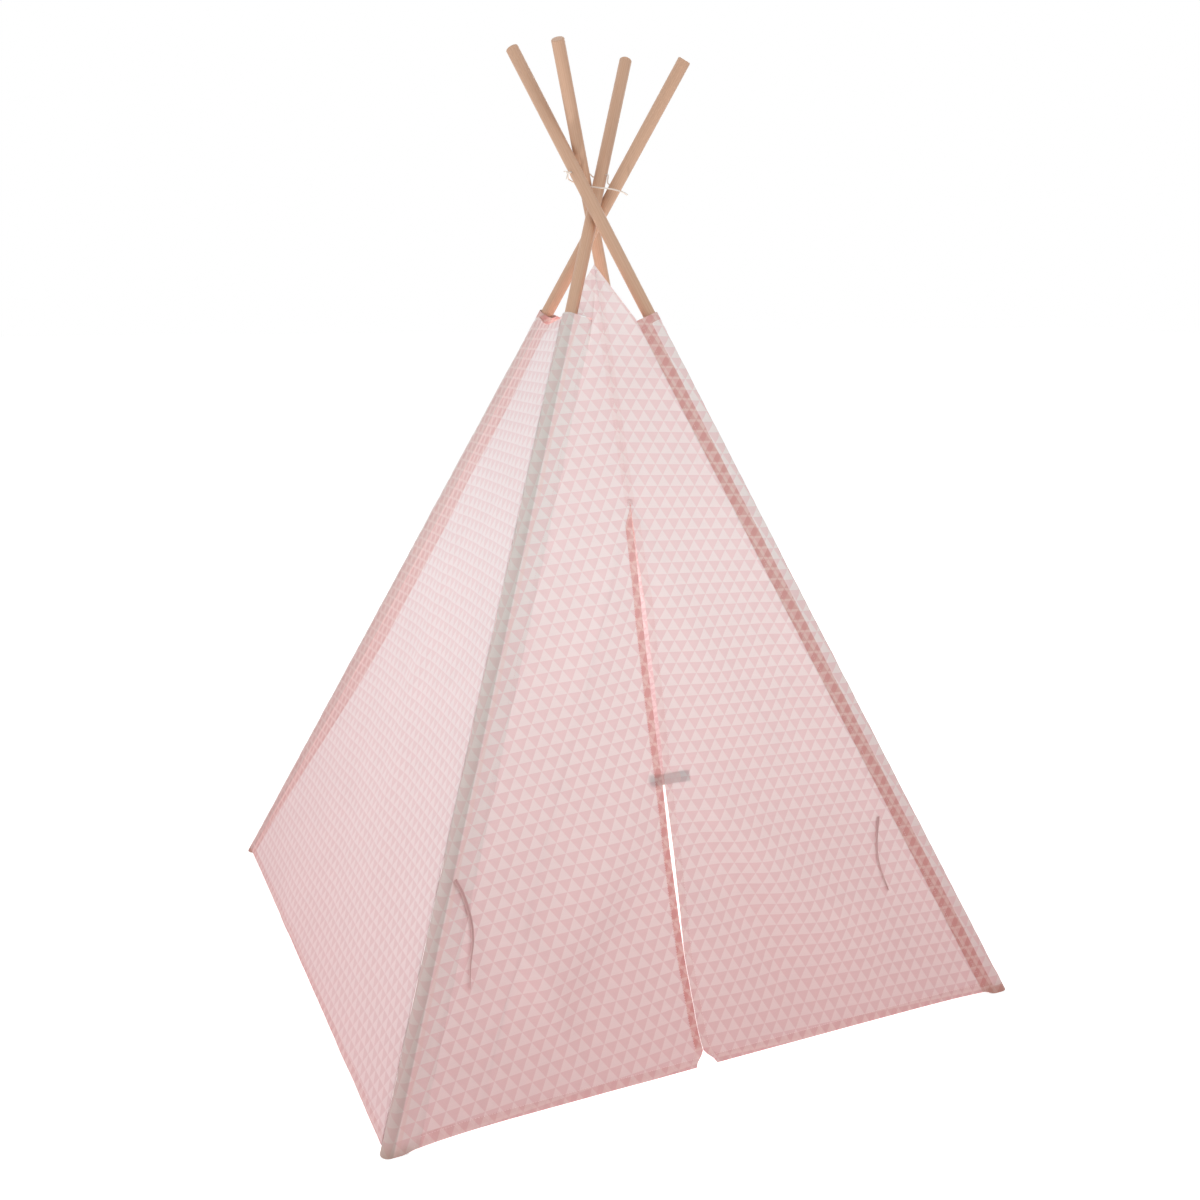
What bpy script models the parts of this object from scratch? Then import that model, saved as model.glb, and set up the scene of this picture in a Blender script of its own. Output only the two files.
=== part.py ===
# Kids teepee: four jointed wooden poles crossed and lashed near the top, in cloth sleeves that carry
# three plain walls and a front wall with a slit door. X runs to the right of the door, Y to the back.

import math

import bmesh
import bpy
from mathutils import Vector

# Sizes in metres, angles in degrees.

# Poles
pole_diameter = 0.022
pole_length = 1.82
pole_bevel = 0.0015
pole_sides = 24
base_half_width = 0.55
crossing_height = 1.33
crossing_gap = 0.001
crossing_forward = 0.020
section_gap = 0.0003

# Ferrule tubes that join the two sections of each pole
ferrule_length = 0.10
ferrule_wall = 0.0007
ferrule_gap = 0.0003

# Cloth and sleeves
cloth = 0.001
sleeve_slack = 0.001
sleeve_top_drop = 0.175
pocket_width = 0.050
pocket_seam = 0.008
sole_gap = 0.0003
seam_gap = 0.0006

# Walls
hem_clearance = 0.010
hem_height = 0.014
wall_top_drop = 0.004
top_dip = 0.014
wall_sag = 0.012
fold_depth = 0.005

# Door in the front wall
slit_top_height = 0.853
slit_top_offset = -0.032
slit_gap_least = 0.0008
slit_gap_most = 0.0055
notch_width = 0.036
notch_height = 0.024
peak_rise = 0.084
peak_offset = -0.034
fold_corner_inset = 0.085
fold_gap = 0.0009
hinge_lift = 0.0005
flap_top_drop = 0.010

# Closure strap and patch behind the slit, and the ties that hold the open flaps
closure_height = 0.433
closure_length = 0.059
closure_width = 0.018
closure_reach = 0.0105
strap_thickness = 0.0012
closure_gap = 0.0005
patch_length = 0.020
tie_width = 0.006
tie_thickness = 0.001
tie_lift = 0.0008

# Lashing cord and its knot
cord_diameter = 0.0025
cord_hole_diameter = 0.004
cord_lead = 0.0030
knot_radius = 0.0034
knot_gap = 0.0003
cord_step_diameters = 2.4

# One overrun serves every cut
overrun = 0.004

# Faces across and up each cloth piece, and round a sleeve. The front panels reach the slit's top at
# the row named here.
arc_steps = 20
wall_steps = (12, 16)
front_panel_steps = (6, 20)
front_panel_slit_row = 14
flap_steps = (10, 20)
# Places that a smooth curve takes between two of its points
curve_steps = 24

# Where the poles cross, seen from above, in steps of one pole's width. The front right pole lies
# foremost, the front left and back left ones behind it, and the back right one last.
crossing_shares = {
    "front_right": (-4 / 6, -5 / 6),
    "front_left": (-2 / 6, 1 / 6),
    "back_left": (4 / 6, 5 / 6),
    "back_right": (2 / 6, 2 / 6),
}
corners = {
    "front_left": (-1, -1),
    "front_right": (1, -1),
    "back_left": (-1, 1),
    "back_right": (1, 1),
}
# Share of its length at which a pole's two sections meet
section_share = 0.5

# Heights of the drilled holes above the crossing, in pole diameters, and the way each one runs seen
# from above
cord_hole_rise_shares = {
    "front_right": 2.82,
    "back_right": 2.64,
    "front_left": 2.64,
    "back_left": 1.73,
}
cord_hole_headings = {
    "front_right": 20,
    "back_right": 60,
    "front_left": -60,
    "back_left": -20,
}
# Turns of the lashing cord between the holes, counted from the middle of the crossing in pole
# diameters: one behind the back right pole, then the way back across the front
cord_turn_share = (0.02, 1.48, 2.95)
cord_return_shares = [
    (2.23, -1.09, 1.18),
    (1.82, -1.55, 1.27),
    (0.91, -1.23, 1.55),
    (0.00, -0.91, 1.64),
    (-0.73, -0.59, 1.73),
    (-1.07, -0.02, 1.82),
    (-1.64, 0.18, 2.00),
    (-2.27, 0.05, 2.27),
]
# The way from the knot to the cord's second end
knot_end_shares = (0.40, 0.90, 0.15)

# Soft folds of each wall: start and end as shares of its width and height, half width as a share,
# and height as a share of fold_depth, below zero for a fold that sinks in.
wall_fold_shares = {
    "left_wall": [
        ((0.10, 0.95), (0.80, 0.05), 0.05, 0.8),
        ((0.05, 0.60), (0.60, 0.02), 0.04, -0.5),
    ],
    "right_wall": [((0.85, 0.90), (0.25, 0.10), 0.05, 0.7)],
    "back_wall": [
        ((0.15, 0.05), (0.55, 0.80), 0.05, 0.6),
        ((0.85, 0.05), (0.50, 0.55), 0.05, -0.5),
    ],
}
# Soft folds of the door flaps, from the closure towards the lower corners. Widths are counted from
# the fold line to the slit, and heights from the hem to the slit's top.
flap_fold_shares = {
    "left": [
        ((0.95, 0.50), (0.20, 0.14), 0.10, 1.0),
        ((0.90, 0.34), (0.35, 0.04), 0.08, -0.7),
    ],
    "right": [
        ((0.95, 0.50), (0.15, 0.10), 0.09, 1.1),
        ((0.95, 0.46), (0.45, 0.03), 0.08, -0.8),
        ((0.90, 0.90), (0.55, 0.62), 0.12, 0.6),
    ],
}
# How far the slit stands open along its height: shares of the height and of the widest gap
slit_gap_shares = [
    (0.00, 0.10),
    (0.22, 0.12),
    (0.38, 1.00),
    (0.50, 0.30),
    (0.64, 0.85),
    (0.80, 1.00),
    (0.92, 0.25),
    (1.00, 0.00),
]
# How far the slit lies to the side of its top: shares of its height, and sideways
slit_bends = [
    (0.00, -0.008),
    (0.06, -0.015),
    (0.19, -0.020),
    (0.52, -0.012),
    (0.82, -0.003),
    (1.00, 0.000),
]
# Tie routes on the front wall: sideways and downwards from where each tie is sewn on
tie_routes = {
    "left": [
        (0.000, 0.000),
        (0.008, 0.020),
        (0.013, 0.042),
        (0.016, 0.070),
        (0.014, 0.094),
        (0.006, 0.124),
        (0.000, 0.160),
    ],
    "right": [
        (0.000, 0.000),
        (-0.011, 0.041),
        (-0.014, 0.067),
        (-0.012, 0.090),
        (-0.004, 0.124),
    ],
}
tie_top_heights = {"left": 0.343, "right": 0.320}
tie_insets = {"left": 0.003, "right": 0.064}

pole_radius = pole_diameter / 2
ferrule_inner_radius = pole_radius + ferrule_gap
ferrule_radius = ferrule_inner_radius + ferrule_wall
sleeve_inner_radius = ferrule_radius + sleeve_slack
sleeve_radius = sleeve_inner_radius + cloth
pocket_reach = pocket_width - sleeve_radius
sleeve_top_height = crossing_height - sleeve_top_drop
peak_height = sleeve_top_height + peak_rise
cord_radius = cord_diameter / 2


def clear_scene():
    for obj in list(bpy.data.objects):
        bpy.data.objects.remove(obj)


def make_collection(name):
    found = bpy.data.collections.new(name)
    bpy.context.scene.collection.children.link(found)
    return found


def make_material(name, colour, roughness, metallic=0.0):
    made = bpy.data.materials.new(name)
    made.use_nodes = True
    shader = made.node_tree.nodes["Principled BSDF"]
    shader.inputs["Base Color"].default_value = (*colour, 1.0)
    shader.inputs["Roughness"].default_value = roughness
    shader.inputs["Metallic"].default_value = metallic
    return made


clear_scene()
parts = make_collection("kids_teepee")
cutters = make_collection("cutters")


def add_object(name, mesh, colour, roughness, metallic=0.0, parent=None, smooth_angle=40):
    obj = bpy.data.objects.new(name, mesh)
    mesh.materials.append(make_material(name, colour, roughness, metallic))
    mesh.shade_smooth()
    mesh.set_sharp_from_angle(angle=math.radians(smooth_angle))
    parts.objects.link(obj)
    if parent is not None:
        obj.parent = parent
        obj.matrix_parent_inverse = parent.matrix_world.inverted()
    return obj


def mesh_from(bm, name):
    mesh = bpy.data.meshes.new(name)
    bm.to_mesh(mesh)
    bm.free()
    return mesh


# Pole axes: each runs from its corner of the floor through its own place in the crossing.


def crossing_points():
    lean = math.atan(math.sqrt(2) * base_half_width / crossing_height)
    tilt = math.sqrt(2) * math.cos(lean)
    neighbour_step = (pole_diameter + crossing_gap) * math.hypot(tilt, math.sin(lean)) / tilt
    opposite_step = (pole_diameter + crossing_gap) * math.sqrt(2)
    places = {
        name: Vector((x * neighbour_step, y * neighbour_step, crossing_height))
        for name, (x, y) in crossing_shares.items()
    }
    front = places["front_left"]
    back = places["back_right"]
    back.y = back.x - (front.x - front.y) + opposite_step
    middle = sum((place.y for place in places.values()), 0.0) / len(places)
    for place in places.values():
        place.y -= middle + crossing_forward
    return places


crossing = crossing_points()
foot = {
    name: Vector((x * base_half_width, y * base_half_width, 0.0))
    for name, (x, y) in corners.items()
}
axis = {name: (crossing[name] - foot[name]).normalized() for name in corners}


def on_axis(name, height):
    """Point of a pole's axis at a height above the floor."""
    return foot[name] + axis[name] * (height / axis[name].z)


def across_pole(name, toward):
    """Unit vector square to the pole that leans least from a level direction."""
    return (toward - axis[name] * toward.dot(axis[name])).normalized()


def pocket_frame(name):
    """Directions square to the pole: along the front or back wall into it, and out of that wall."""
    x, y = corners[name]
    inward = across_pole(name, Vector((-x, 0, 0)))
    outward = axis[name].cross(inward)
    return inward, outward * (1 if outward.y * y > 0 else -1)


def side_frame(name):
    """The same two directions for the left or right wall that meets this pole."""
    x, y = corners[name]
    inward = across_pole(name, Vector((0, -y, 0)))
    outward = axis[name].cross(inward)
    return inward, outward * (1 if outward.x * x > 0 else -1)


def place_along(obj, start, direction):
    obj.rotation_mode = "QUATERNION"
    turn = direction.to_track_quat("Z", "Y")
    obj.location = start
    obj.rotation_quaternion = turn


def add_pivot(name, place, direction, parent=None):
    """Empty on a joint's axis, with its own Z along that axis."""
    pivot = bpy.data.objects.new(f"{name}_pivot", None)
    pivot.empty_display_size = pole_diameter
    parts.objects.link(pivot)
    if parent is not None:
        pivot.parent = parent
        pivot.matrix_parent_inverse = parent.matrix_world.inverted()
    place_along(pivot, place, direction)
    bpy.context.view_layer.update()
    return pivot


wall_sleeves = {
    "front_wall": ("front_left", "front_right", Vector((1, 0, 0))),
    "left_wall": ("back_left", "front_left", Vector((0, -1, 0))),
    "right_wall": ("front_right", "back_right", Vector((0, 1, 0))),
    "back_wall": ("back_right", "back_left", Vector((-1, 0, 0))),
}


def make_pivots():
    """Each pole folds inwards about a level line through its place in the crossing, and each wall
    follows between its two poles."""
    made = {}
    for name in corners:
        level = Vector((axis[name].x, axis[name].y, 0)).normalized()
        made[name] = add_pivot(name, crossing[name], level.cross(Vector((0, 0, 1))))
    for name, (first, last, direction) in wall_sleeves.items():
        middle = crossing[first].lerp(crossing[last], 1 / 2)
        made[name] = add_pivot(name, middle, direction)
    return made


pivots = make_pivots()


def rod_mesh(name, radius, length, sides):
    """Round bar standing on its own origin."""
    bm = bmesh.new()
    bmesh.ops.create_cone(
        bm, cap_ends=True, segments=sides, radius1=radius, radius2=radius, depth=length
    )
    bmesh.ops.translate(bm, verts=bm.verts, vec=(0, 0, length / 2))
    return mesh_from(bm, name)


def pole_start(name):
    """Distance along the axis at which the pole's square end clears the sleeve's sole."""
    lean = math.acos(axis[name].z)
    rim = cloth + sole_gap + pole_radius * math.sin(lean)
    return rim / axis[name].z


def cord_hole(name):
    """Middle and direction of the hole drilled through a pole for the lashing cord."""
    middle = on_axis(name, crossing_height + cord_hole_rise_shares[name] * pole_diameter)
    heading = math.radians(cord_hole_headings[name])
    return middle, across_pole(name, Vector((math.cos(heading), math.sin(heading), 0)))


def add_poles():
    wood = (0.62, 0.43, 0.30)
    for name in corners:
        start = pole_start(name)
        meet = start + pole_length * section_share
        lengths = {
            "lower": (start, meet - section_gap / 2),
            "upper": (meet + section_gap / 2, start + pole_length),
        }
        for part, (low, high) in lengths.items():
            mesh = rod_mesh(f"{name}_pole_{part}", pole_radius, high - low, pole_sides)
            pole = add_object(f"{name}_pole_{part}", mesh, wood, 0.55, parent=pivots[name])
            place_along(pole, foot[name] + axis[name] * low, axis[name])
            bevel = pole.modifiers.new("eased_ends", "BEVEL")
            bevel.width = pole_bevel
            bevel.segments = 1
            if part == "upper":
                drill(pole, name)
        add_ferrule(name, meet)


def drill(pole, name):
    middle, heading = cord_hole(name)
    reach = pole_radius + overrun
    mesh = rod_mesh(f"{name}_drill", cord_hole_diameter / 2, 2 * reach, pole_sides // 2)
    drill_bit = bpy.data.objects.new(f"{name}_drill", mesh)
    drill_bit.hide_render = True
    drill_bit.display_type = "WIRE"
    cutters.objects.link(drill_bit)
    place_along(drill_bit, middle - heading * reach, heading)
    cut = pole.modifiers.new("cord_hole", "BOOLEAN")
    cut.operation = "DIFFERENCE"
    cut.object = drill_bit


def add_ferrule(name, meet):
    half = ferrule_length / 2
    profile = [
        (ferrule_radius, half),
        (ferrule_radius, -half),
        (ferrule_inner_radius, -half),
        (ferrule_inner_radius, half),
    ]
    bm = bmesh.new()
    ring = [bm.verts.new((x, 0, z)) for x, z in profile]
    for index, vert in enumerate(ring):
        bm.edges.new((vert, ring[(index + 1) % len(ring)]))
    mesh = mesh_from(bm, f"{name}_ferrule")
    steel = (0.62, 0.62, 0.60)
    ferrule = add_object(f"{name}_ferrule", mesh, steel, 0.35, 1.0, parent=pivots[name])
    place_along(ferrule, foot[name] + axis[name] * meet, axis[name])
    turn = ferrule.modifiers.new("turned", "SCREW")
    turn.steps = pole_sides
    turn.render_steps = pole_sides
    turn.use_merge_vertices = True
    turn.merge_threshold = 0.0001


# Sleeve section: a round tunnel for the pole and a flat pocket seam that reaches into the wall.


def arc(radius, start, end):
    turn = (end - start) / arc_steps
    return [
        (radius * math.cos(start + turn * step), radius * math.sin(start + turn * step))
        for step in range(arc_steps + 1)
    ]


def tangent_angle(point, radius):
    """Angle of the inner touching point of a line from the point to the round tunnel."""
    reach = math.hypot(*point)
    return math.atan2(point[1], point[0]) - math.acos(radius / reach)


def sleeve_outline():
    throat = (pocket_reach - pocket_seam, sleeve_radius - 2 * cloth)
    touch = tangent_angle(throat, sleeve_radius) + 2 * math.pi
    outside = arc(sleeve_radius, math.pi / 2, touch)
    return [
        *outside,
        throat,
        (pocket_reach, sleeve_radius - 2 * cloth),
        (pocket_reach, sleeve_radius),
    ]


def tunnel_outline():
    """Inside of the sleeve: it ends in a sharp throat where the two layers meet."""
    throat = (pocket_reach - pocket_seam, sleeve_radius - 2 * cloth)
    touch = tangent_angle(throat, sleeve_radius) + 2 * math.pi
    inside = arc(sleeve_inner_radius, math.pi / 2, touch)
    sharp = (sleeve_inner_radius - sleeve_inner_radius * math.sin(touch)) / math.cos(touch)
    return [*inside, (sharp, sleeve_inner_radius)]


def ring_on_floor(name, outline, height):
    """The outline carried down along the pole to a level plane."""
    inward, outward = pocket_frame(name)
    ring = []
    for along, out in outline:
        side = inward * along + outward * out
        ring.append(foot[name] + side + axis[name] * ((height - side.z) / axis[name].z))
    return ring


def ring_on_pole(name, outline, height):
    """The outline square to the pole at a height of its axis."""
    inward, outward = pocket_frame(name)
    middle = on_axis(name, height)
    return [middle + inward * along + outward * out for along, out in outline]


def close_strip(bm, low, high):
    """A band of four-sided faces between two rings with the same number of corners."""
    count = len(low)
    for index in range(count):
        after = (index + 1) % count
        bm.faces.new((low[index], low[after], high[after], high[index]))


def add_sleeve(name):
    bm = bmesh.new()
    outside, tunnel = sleeve_outline(), tunnel_outline()
    sole_out, mouth_out, sole_in, mouth_in = (
        [bm.verts.new(point) for point in ring]
        for ring in (
            ring_on_floor(name, outside, 0.0),
            ring_on_pole(name, outside, sleeve_top_height),
            ring_on_floor(name, tunnel, cloth),
            ring_on_pole(name, tunnel, sleeve_top_height),
        )
    )
    close_strip(bm, sole_out, mouth_out)
    close_strip(bm, sole_in, mouth_in)
    bm.faces.new(sole_out)
    bm.faces.new(sole_in)
    # The mouth's rim: a band round the tunnel, then the two layers of the pocket seam as one face
    for index in range(len(tunnel) - 1):
        rim = (mouth_out[index], mouth_out[index + 1], mouth_in[index + 1], mouth_in[index])
        bm.faces.new(rim)
    bm.faces.new((*mouth_out[len(tunnel) - 1 :], mouth_out[0], mouth_in[0], mouth_in[-1]))
    bmesh.ops.recalc_face_normals(bm, faces=bm.faces)
    mesh = mesh_from(bm, f"{name}_sleeve")
    add_object(f"{name}_sleeve", mesh, (0.74, 0.42, 0.45), 0.9, parent=pivots[name])


# Walls: each is ruled level between its two sleeves, then sags and folds.


def pocket_edge(name, height):
    """Outer line of the front or back wall beside a sleeve's pocket seam."""
    inward, outward = pocket_frame(name)
    side = inward * (pocket_reach + seam_gap) + outward * sleeve_radius
    return foot[name] + side + axis[name] * ((height - side.z) / axis[name].z)


def tunnel_edge(name, height):
    """Outer line of a side wall where it meets a sleeve's round tunnel."""
    inward, outward = side_frame(name)
    depth = sleeve_radius - 2 * cloth
    reach = math.sqrt(sleeve_radius**2 - depth**2) + seam_gap
    side = inward * reach + outward * sleeve_radius
    return foot[name] + side + axis[name] * ((height - side.z) / axis[name].z)


def smooth_step(value):
    value = min(1.0, max(0.0, value))
    return value * value * (3 - 2 * value)


def fold(share, rise, line):
    """Height of one soft fold, as a share of fold_depth, at a place of the wall."""
    (x0, y0), (x1, y1), half_width, height = line
    run_x, run_y = x1 - x0, y1 - y0
    length = math.hypot(run_x, run_y)
    along = ((share - x0) * run_x + (rise - y0) * run_y) / length**2
    off = ((share - x0) * run_y - (rise - y0) * run_x) / length
    ends = smooth_step(along * 4) * smooth_step((1 - along) * 4)
    return height * ends * math.exp(-((off / half_width) ** 2))


def wall_height(height):
    return (height - hem_clearance) / (sleeve_top_height - hem_clearance)


# Line that each plain wall is sewn to, and the way it faces
plain_walls = {
    "left_wall": (tunnel_edge, Vector((-1, 0, 0))),
    "right_wall": (tunnel_edge, Vector((1, 0, 0))),
    "back_wall": (pocket_edge, Vector((0, 1, 0))),
}


def wall_point(name, share, rise):
    """Outer face of a plain wall. The shares run from its first sleeve and up from its hem."""
    first, last, _ = wall_sleeves[name]
    edge, out = plain_walls[name]
    dip = top_dip * (1 - abs(2 * share - 1))
    top = sleeve_top_height - wall_top_drop - dip
    height = hem_clearance + rise * (top - hem_clearance)
    spread = 4 * share * (1 - share)
    sag = wall_sag * spread * math.sin(math.pi * smooth_step(wall_height(height)))
    folds = sum(fold(share, rise, line) for line in wall_fold_shares[name])
    start, end = edge(first, height), edge(last, height)
    return start.lerp(end, share) + out * (fold_depth * folds * spread - sag)


def sleeve_depth(height):
    """Depth midway between the outer faces of the two front sleeves."""
    return (pocket_edge("front_left", height).y + pocket_edge("front_right", height).y) / 2


def door_depth(height):
    """Depth of the flat door at a height, and of the seam above it."""
    top = sleeve_depth(slit_top_height)
    end = hem_clearance if height <= slit_top_height else peak_height
    depth = sleeve_depth(end)
    return depth + (top - depth) * (height - end) / (slit_top_height - end)


def seam_line(height):
    """Sideways place of the seam from the slit's top to the peak."""
    share = (height - slit_top_height) / (peak_height - slit_top_height)
    return slit_top_offset + (peak_offset - slit_top_offset) * share


def front_point(x, height, out=0.0):
    """Outer face of the front wall below the slit's top: flat between its two fold lines, and level
    from there to the sleeves' own outer faces."""
    depth = inner = door_depth(height)
    for side, name in ((-1, "front_left"), (1, "front_right")):
        line = fold_line(side, height)
        if (x - line) * side > 0:
            outer = pocket_edge(name, height)
            depth += (outer.y - inner) * min(1.0, (x - line) / (outer.x - line))
    return Vector((x, depth - out, height))


def along(points, share):
    """Value at a share of the way, straight between the listed points."""
    share = min(1.0, max(0.0, share))
    for (low, start), (high, end) in zip(points, points[1:]):
        if share <= high:
            return start + (end - start) * (share - low) / (high - low)
    return points[-1][1]


def slit_line(height):
    """Sideways place of the slit between the two flaps."""
    share = (height - hem_clearance) / (slit_top_height - hem_clearance)
    return slit_top_offset + along(slit_bends, share)


def slit_opening(height):
    """Width of the gap between the flaps. Their corners are cut back in a notch at the hem."""
    share = (height - hem_clearance) / (slit_top_height - hem_clearance)
    notch = notch_width * (1 - smooth_step((height - hem_clearance) / notch_height))
    spread = slit_gap_most - slit_gap_least
    return slit_gap_least + spread * along(slit_gap_shares, share) + notch


def fold_corner(side):
    """Foot of a door flap's fold line, on the hem beside its sleeve."""
    name = "front_left" if side < 0 else "front_right"
    return pocket_edge(name, hem_clearance).x - side * fold_corner_inset


def fold_line(side, height):
    """Sideways place of the fold line, from the foot beside the sleeve up to the slit's top."""
    share = (height - hem_clearance) / (slit_top_height - hem_clearance)
    corner = fold_corner(side)
    return corner + (slit_top_offset - corner) * share


def add_cloth(name, steps, place, colour, parent=None):
    """Cloth laid over a grid of places, doubled at its hem, with its thickness inwards."""
    across, up = steps
    bm = bmesh.new()
    bmesh.ops.create_grid(bm, x_segments=across, y_segments=up, size=0.5)
    hem_rows = []
    for index, vert in enumerate(bm.verts):
        share, rise = vert.co.x + 0.5, vert.co.y + 0.5
        vert.co, in_hem = place(share, rise)
        if in_hem:
            hem_rows.append(index)
    mesh = mesh_from(bm, name)
    obj = add_object(name, mesh, colour, 0.9, parent=parent, smooth_angle=60)
    layers = obj.vertex_groups.new(name="layers")
    layers.add(list(range(len(mesh.vertices))), 0.5, "REPLACE")
    layers.add(hem_rows, 1.0, "REPLACE")
    shell = obj.modifiers.new("layers", "SOLIDIFY")
    shell.thickness = 2 * cloth
    shell.offset = -1
    shell.vertex_group = "layers"
    return obj


def hem_stretch(rise, top):
    """Rows up a piece of cloth, with the second one at the hem's height."""
    hem_share = hem_height / (top - hem_clearance)
    first = 1 / 16
    if rise <= first:
        return rise / first * hem_share
    return hem_share + (rise - first) / (1 - first) * (1 - hem_share)


def in_hem(height):
    return height <= hem_clearance + hem_height * 1.01


def add_walls():
    pink = (0.90, 0.66, 0.69)
    for name in plain_walls:
        top = sleeve_top_height - wall_top_drop

        def place(share, rise, name=name, top=top):
            point = wall_point(name, share, hem_stretch(rise, top))
            return point, in_hem(point.z)

        add_cloth(name, wall_steps, place, pink, pivots[name])


def add_front_panels():
    """The parts of the front wall that stay beside the sleeves, with the seam up to the peak."""
    pink = (0.88, 0.60, 0.63)
    break_share = front_panel_slit_row / front_panel_steps[1]
    top = sleeve_top_height - wall_top_drop
    for side, label, sleeve in ((-1, "left", "front_left"), (1, "right", "front_right")):

        def place(share, rise, side=side, sleeve=sleeve):
            height = hem_clearance + hem_stretch(rise, top) * (top - hem_clearance)
            outer = pocket_edge(sleeve, height)
            if rise <= break_share:
                low = hem_clearance + hem_stretch(rise / break_share, slit_top_height) * (
                    slit_top_height - hem_clearance
                )
                inner = fold_line(side, low) + side * fold_gap / 2
            else:
                up = (rise - break_share) / (1 - break_share)
                low = slit_top_height + (peak_height - slit_top_height) * up
                inner = seam_line(low) + side * fold_gap / 2
            inward = share if side < 0 else 1 - share
            point = outer.lerp(Vector((inner, door_depth(low), low)), inward)
            return point, in_hem(point.z)

        name = f"front_{label}_panel"
        add_cloth(name, front_panel_steps, place, pink, pivots["front_wall"])


def add_flap_pivots():
    """Each flap opens outwards about its fold line, which stands just clear of the cloth."""
    for side, label in ((-1, "left"), (1, "right")):
        low = front_point(fold_line(side, hem_clearance), hem_clearance, hinge_lift)
        top = front_point(slit_top_offset, slit_top_height, hinge_lift)
        direction = (low - top) * side
        middle = low.lerp(top, 1 / 2)
        pivots[f"{label}_flap"] = add_pivot(
            f"{label}_flap", middle, direction, pivots["front_wall"]
        )


def flap_billow(label, side, x, height):
    """How far a door flap stands out. It is still at its fold line and where the closure holds it."""
    top = slit_top_height - hem_clearance
    rise = (height - hem_clearance) / top
    edge = slit_line(height) + side * slit_opening(height) / 2
    hinge = fold_line(side, height)
    share = min(1.0, max(0.0, (x - hinge) / (edge - hinge)))
    folds = sum(fold(share, rise, line) for line in flap_fold_shares[label])
    held = 1 - math.exp(-(((height - closure_height) / (3 * closure_width)) ** 2) * share**2)
    return fold_depth * folds * smooth_step(share * 3) * held


def add_flaps():
    pink = (0.88, 0.60, 0.63)
    top = slit_top_height - flap_top_drop
    for side, label in ((-1, "left"), (1, "right")):

        def place(share, rise, side=side, label=label):
            height = hem_clearance + hem_stretch(rise, top) * (top - hem_clearance)
            hinge = fold_line(side, height) - side * fold_gap / 2
            edge = slit_line(height) + side * slit_opening(height) / 2
            inward = share if side < 0 else 1 - share
            x = hinge + (edge - hinge) * inward
            return front_point(x, height, flap_billow(label, side, x, height)), in_hem(height)

        add_cloth(f"{label}_door_flap", flap_steps, place, pink, pivots[f"{label}_flap"])


# Closure: a strap sewn behind the right flap reaches over the slit to a patch behind the left one.


def front_frame(x, height):
    """A place on the door with its directions sideways, up the slope and out."""
    middle = front_point(x, height)
    sideways = (front_point(x + closure_length, height) - middle).normalized()
    upward = (front_point(x, height + closure_length) - middle).normalized()
    outward = sideways.cross(upward).normalized()
    return middle, sideways, outward.cross(sideways), outward


def add_bar(name, outline, origin, colour, parent):
    """A flat outline of sideways places and depths behind the wall, as wide as the closure."""
    middle, sideways, upward, outward = origin
    bm = bmesh.new()
    ring = [
        bm.verts.new(middle + sideways * x - outward * depth - upward * closure_width / 2)
        for x, depth in outline
    ]
    face = bm.faces.new(ring)
    grown = bmesh.ops.extrude_face_region(bm, geom=[face])
    moved = [item for item in grown["geom"] if isinstance(item, bmesh.types.BMVert)]
    bmesh.ops.translate(bm, verts=moved, vec=upward * closure_width)
    bmesh.ops.recalc_face_normals(bm, faces=bm.faces)
    add_object(name, mesh_from(bm, name), colour, 0.9, parent=parent)


def add_closure():
    slit = slit_line(closure_height)
    origin = front_frame(slit, closure_height)
    near = cloth + closure_gap
    under = near + strap_thickness + closure_gap
    back = under + strap_thickness
    gap = slit_gap_most / 2
    strap = [
        (-closure_reach, under),
        (gap, under),
        (gap, near),
        (closure_length - closure_reach, near),
        (closure_length - closure_reach, back),
        (-closure_reach, back),
    ]
    patch = [
        (-gap - patch_length, near),
        (-gap, near),
        (-gap, near + strap_thickness),
        (-gap - patch_length, near + strap_thickness),
    ]
    add_bar("closure_strap", strap, origin, (0.86, 0.56, 0.60), pivots["right_flap"])
    add_bar("closure_patch", patch, origin, (0.88, 0.70, 0.72), pivots["left_flap"])


# Ties: flat tapes that hang over the front wall from each front sleeve.


def heading_at(before, here, after):
    """Direction of a smooth curve at one of its points, from the spans on both sides."""
    back, ahead = (here - before).length, (after - here).length
    return ((here - before) * (ahead / back) + (after - here) * (back / ahead)) / (back + ahead)


def smooth_curve(points):
    """Close-set places on a smooth curve through the points."""
    ends = [points[0] * 2 - points[1], *points, points[-1] * 2 - points[-2]]
    headings = [heading_at(*ends[index : index + 3]) for index in range(len(points))]
    dense = []
    for index in range(len(points) - 1):
        start, end = points[index], points[index + 1]
        span = (end - start).length
        for count in range(curve_steps):
            t = count / curve_steps
            s = 1 - t
            dense.append(
                start * (s * s * (1 + 2 * t))
                + end * (t * t * (1 + 2 * s))
                + headings[index] * (span * s * s * t)
                - headings[index + 1] * (span * t * t * s)
            )
    return [*dense, points[-1]]


def smooth_route(points, step):
    """Places about a step apart along a smooth curve through the points."""
    dense = smooth_curve(points)
    lengths = [0.0]
    for start, end in zip(dense, dense[1:]):
        lengths.append(lengths[-1] + (end - start).length)
    count = max(2, round(lengths[-1] / step))
    places, cursor = [], 0
    for number in range(count + 1):
        target = lengths[-1] * number / count
        while cursor < len(dense) - 2 and lengths[cursor + 1] < target:
            cursor += 1
        span = lengths[cursor + 1] - lengths[cursor]
        places.append(dense[cursor].lerp(dense[cursor + 1], (target - lengths[cursor]) / span))
    return places


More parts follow.
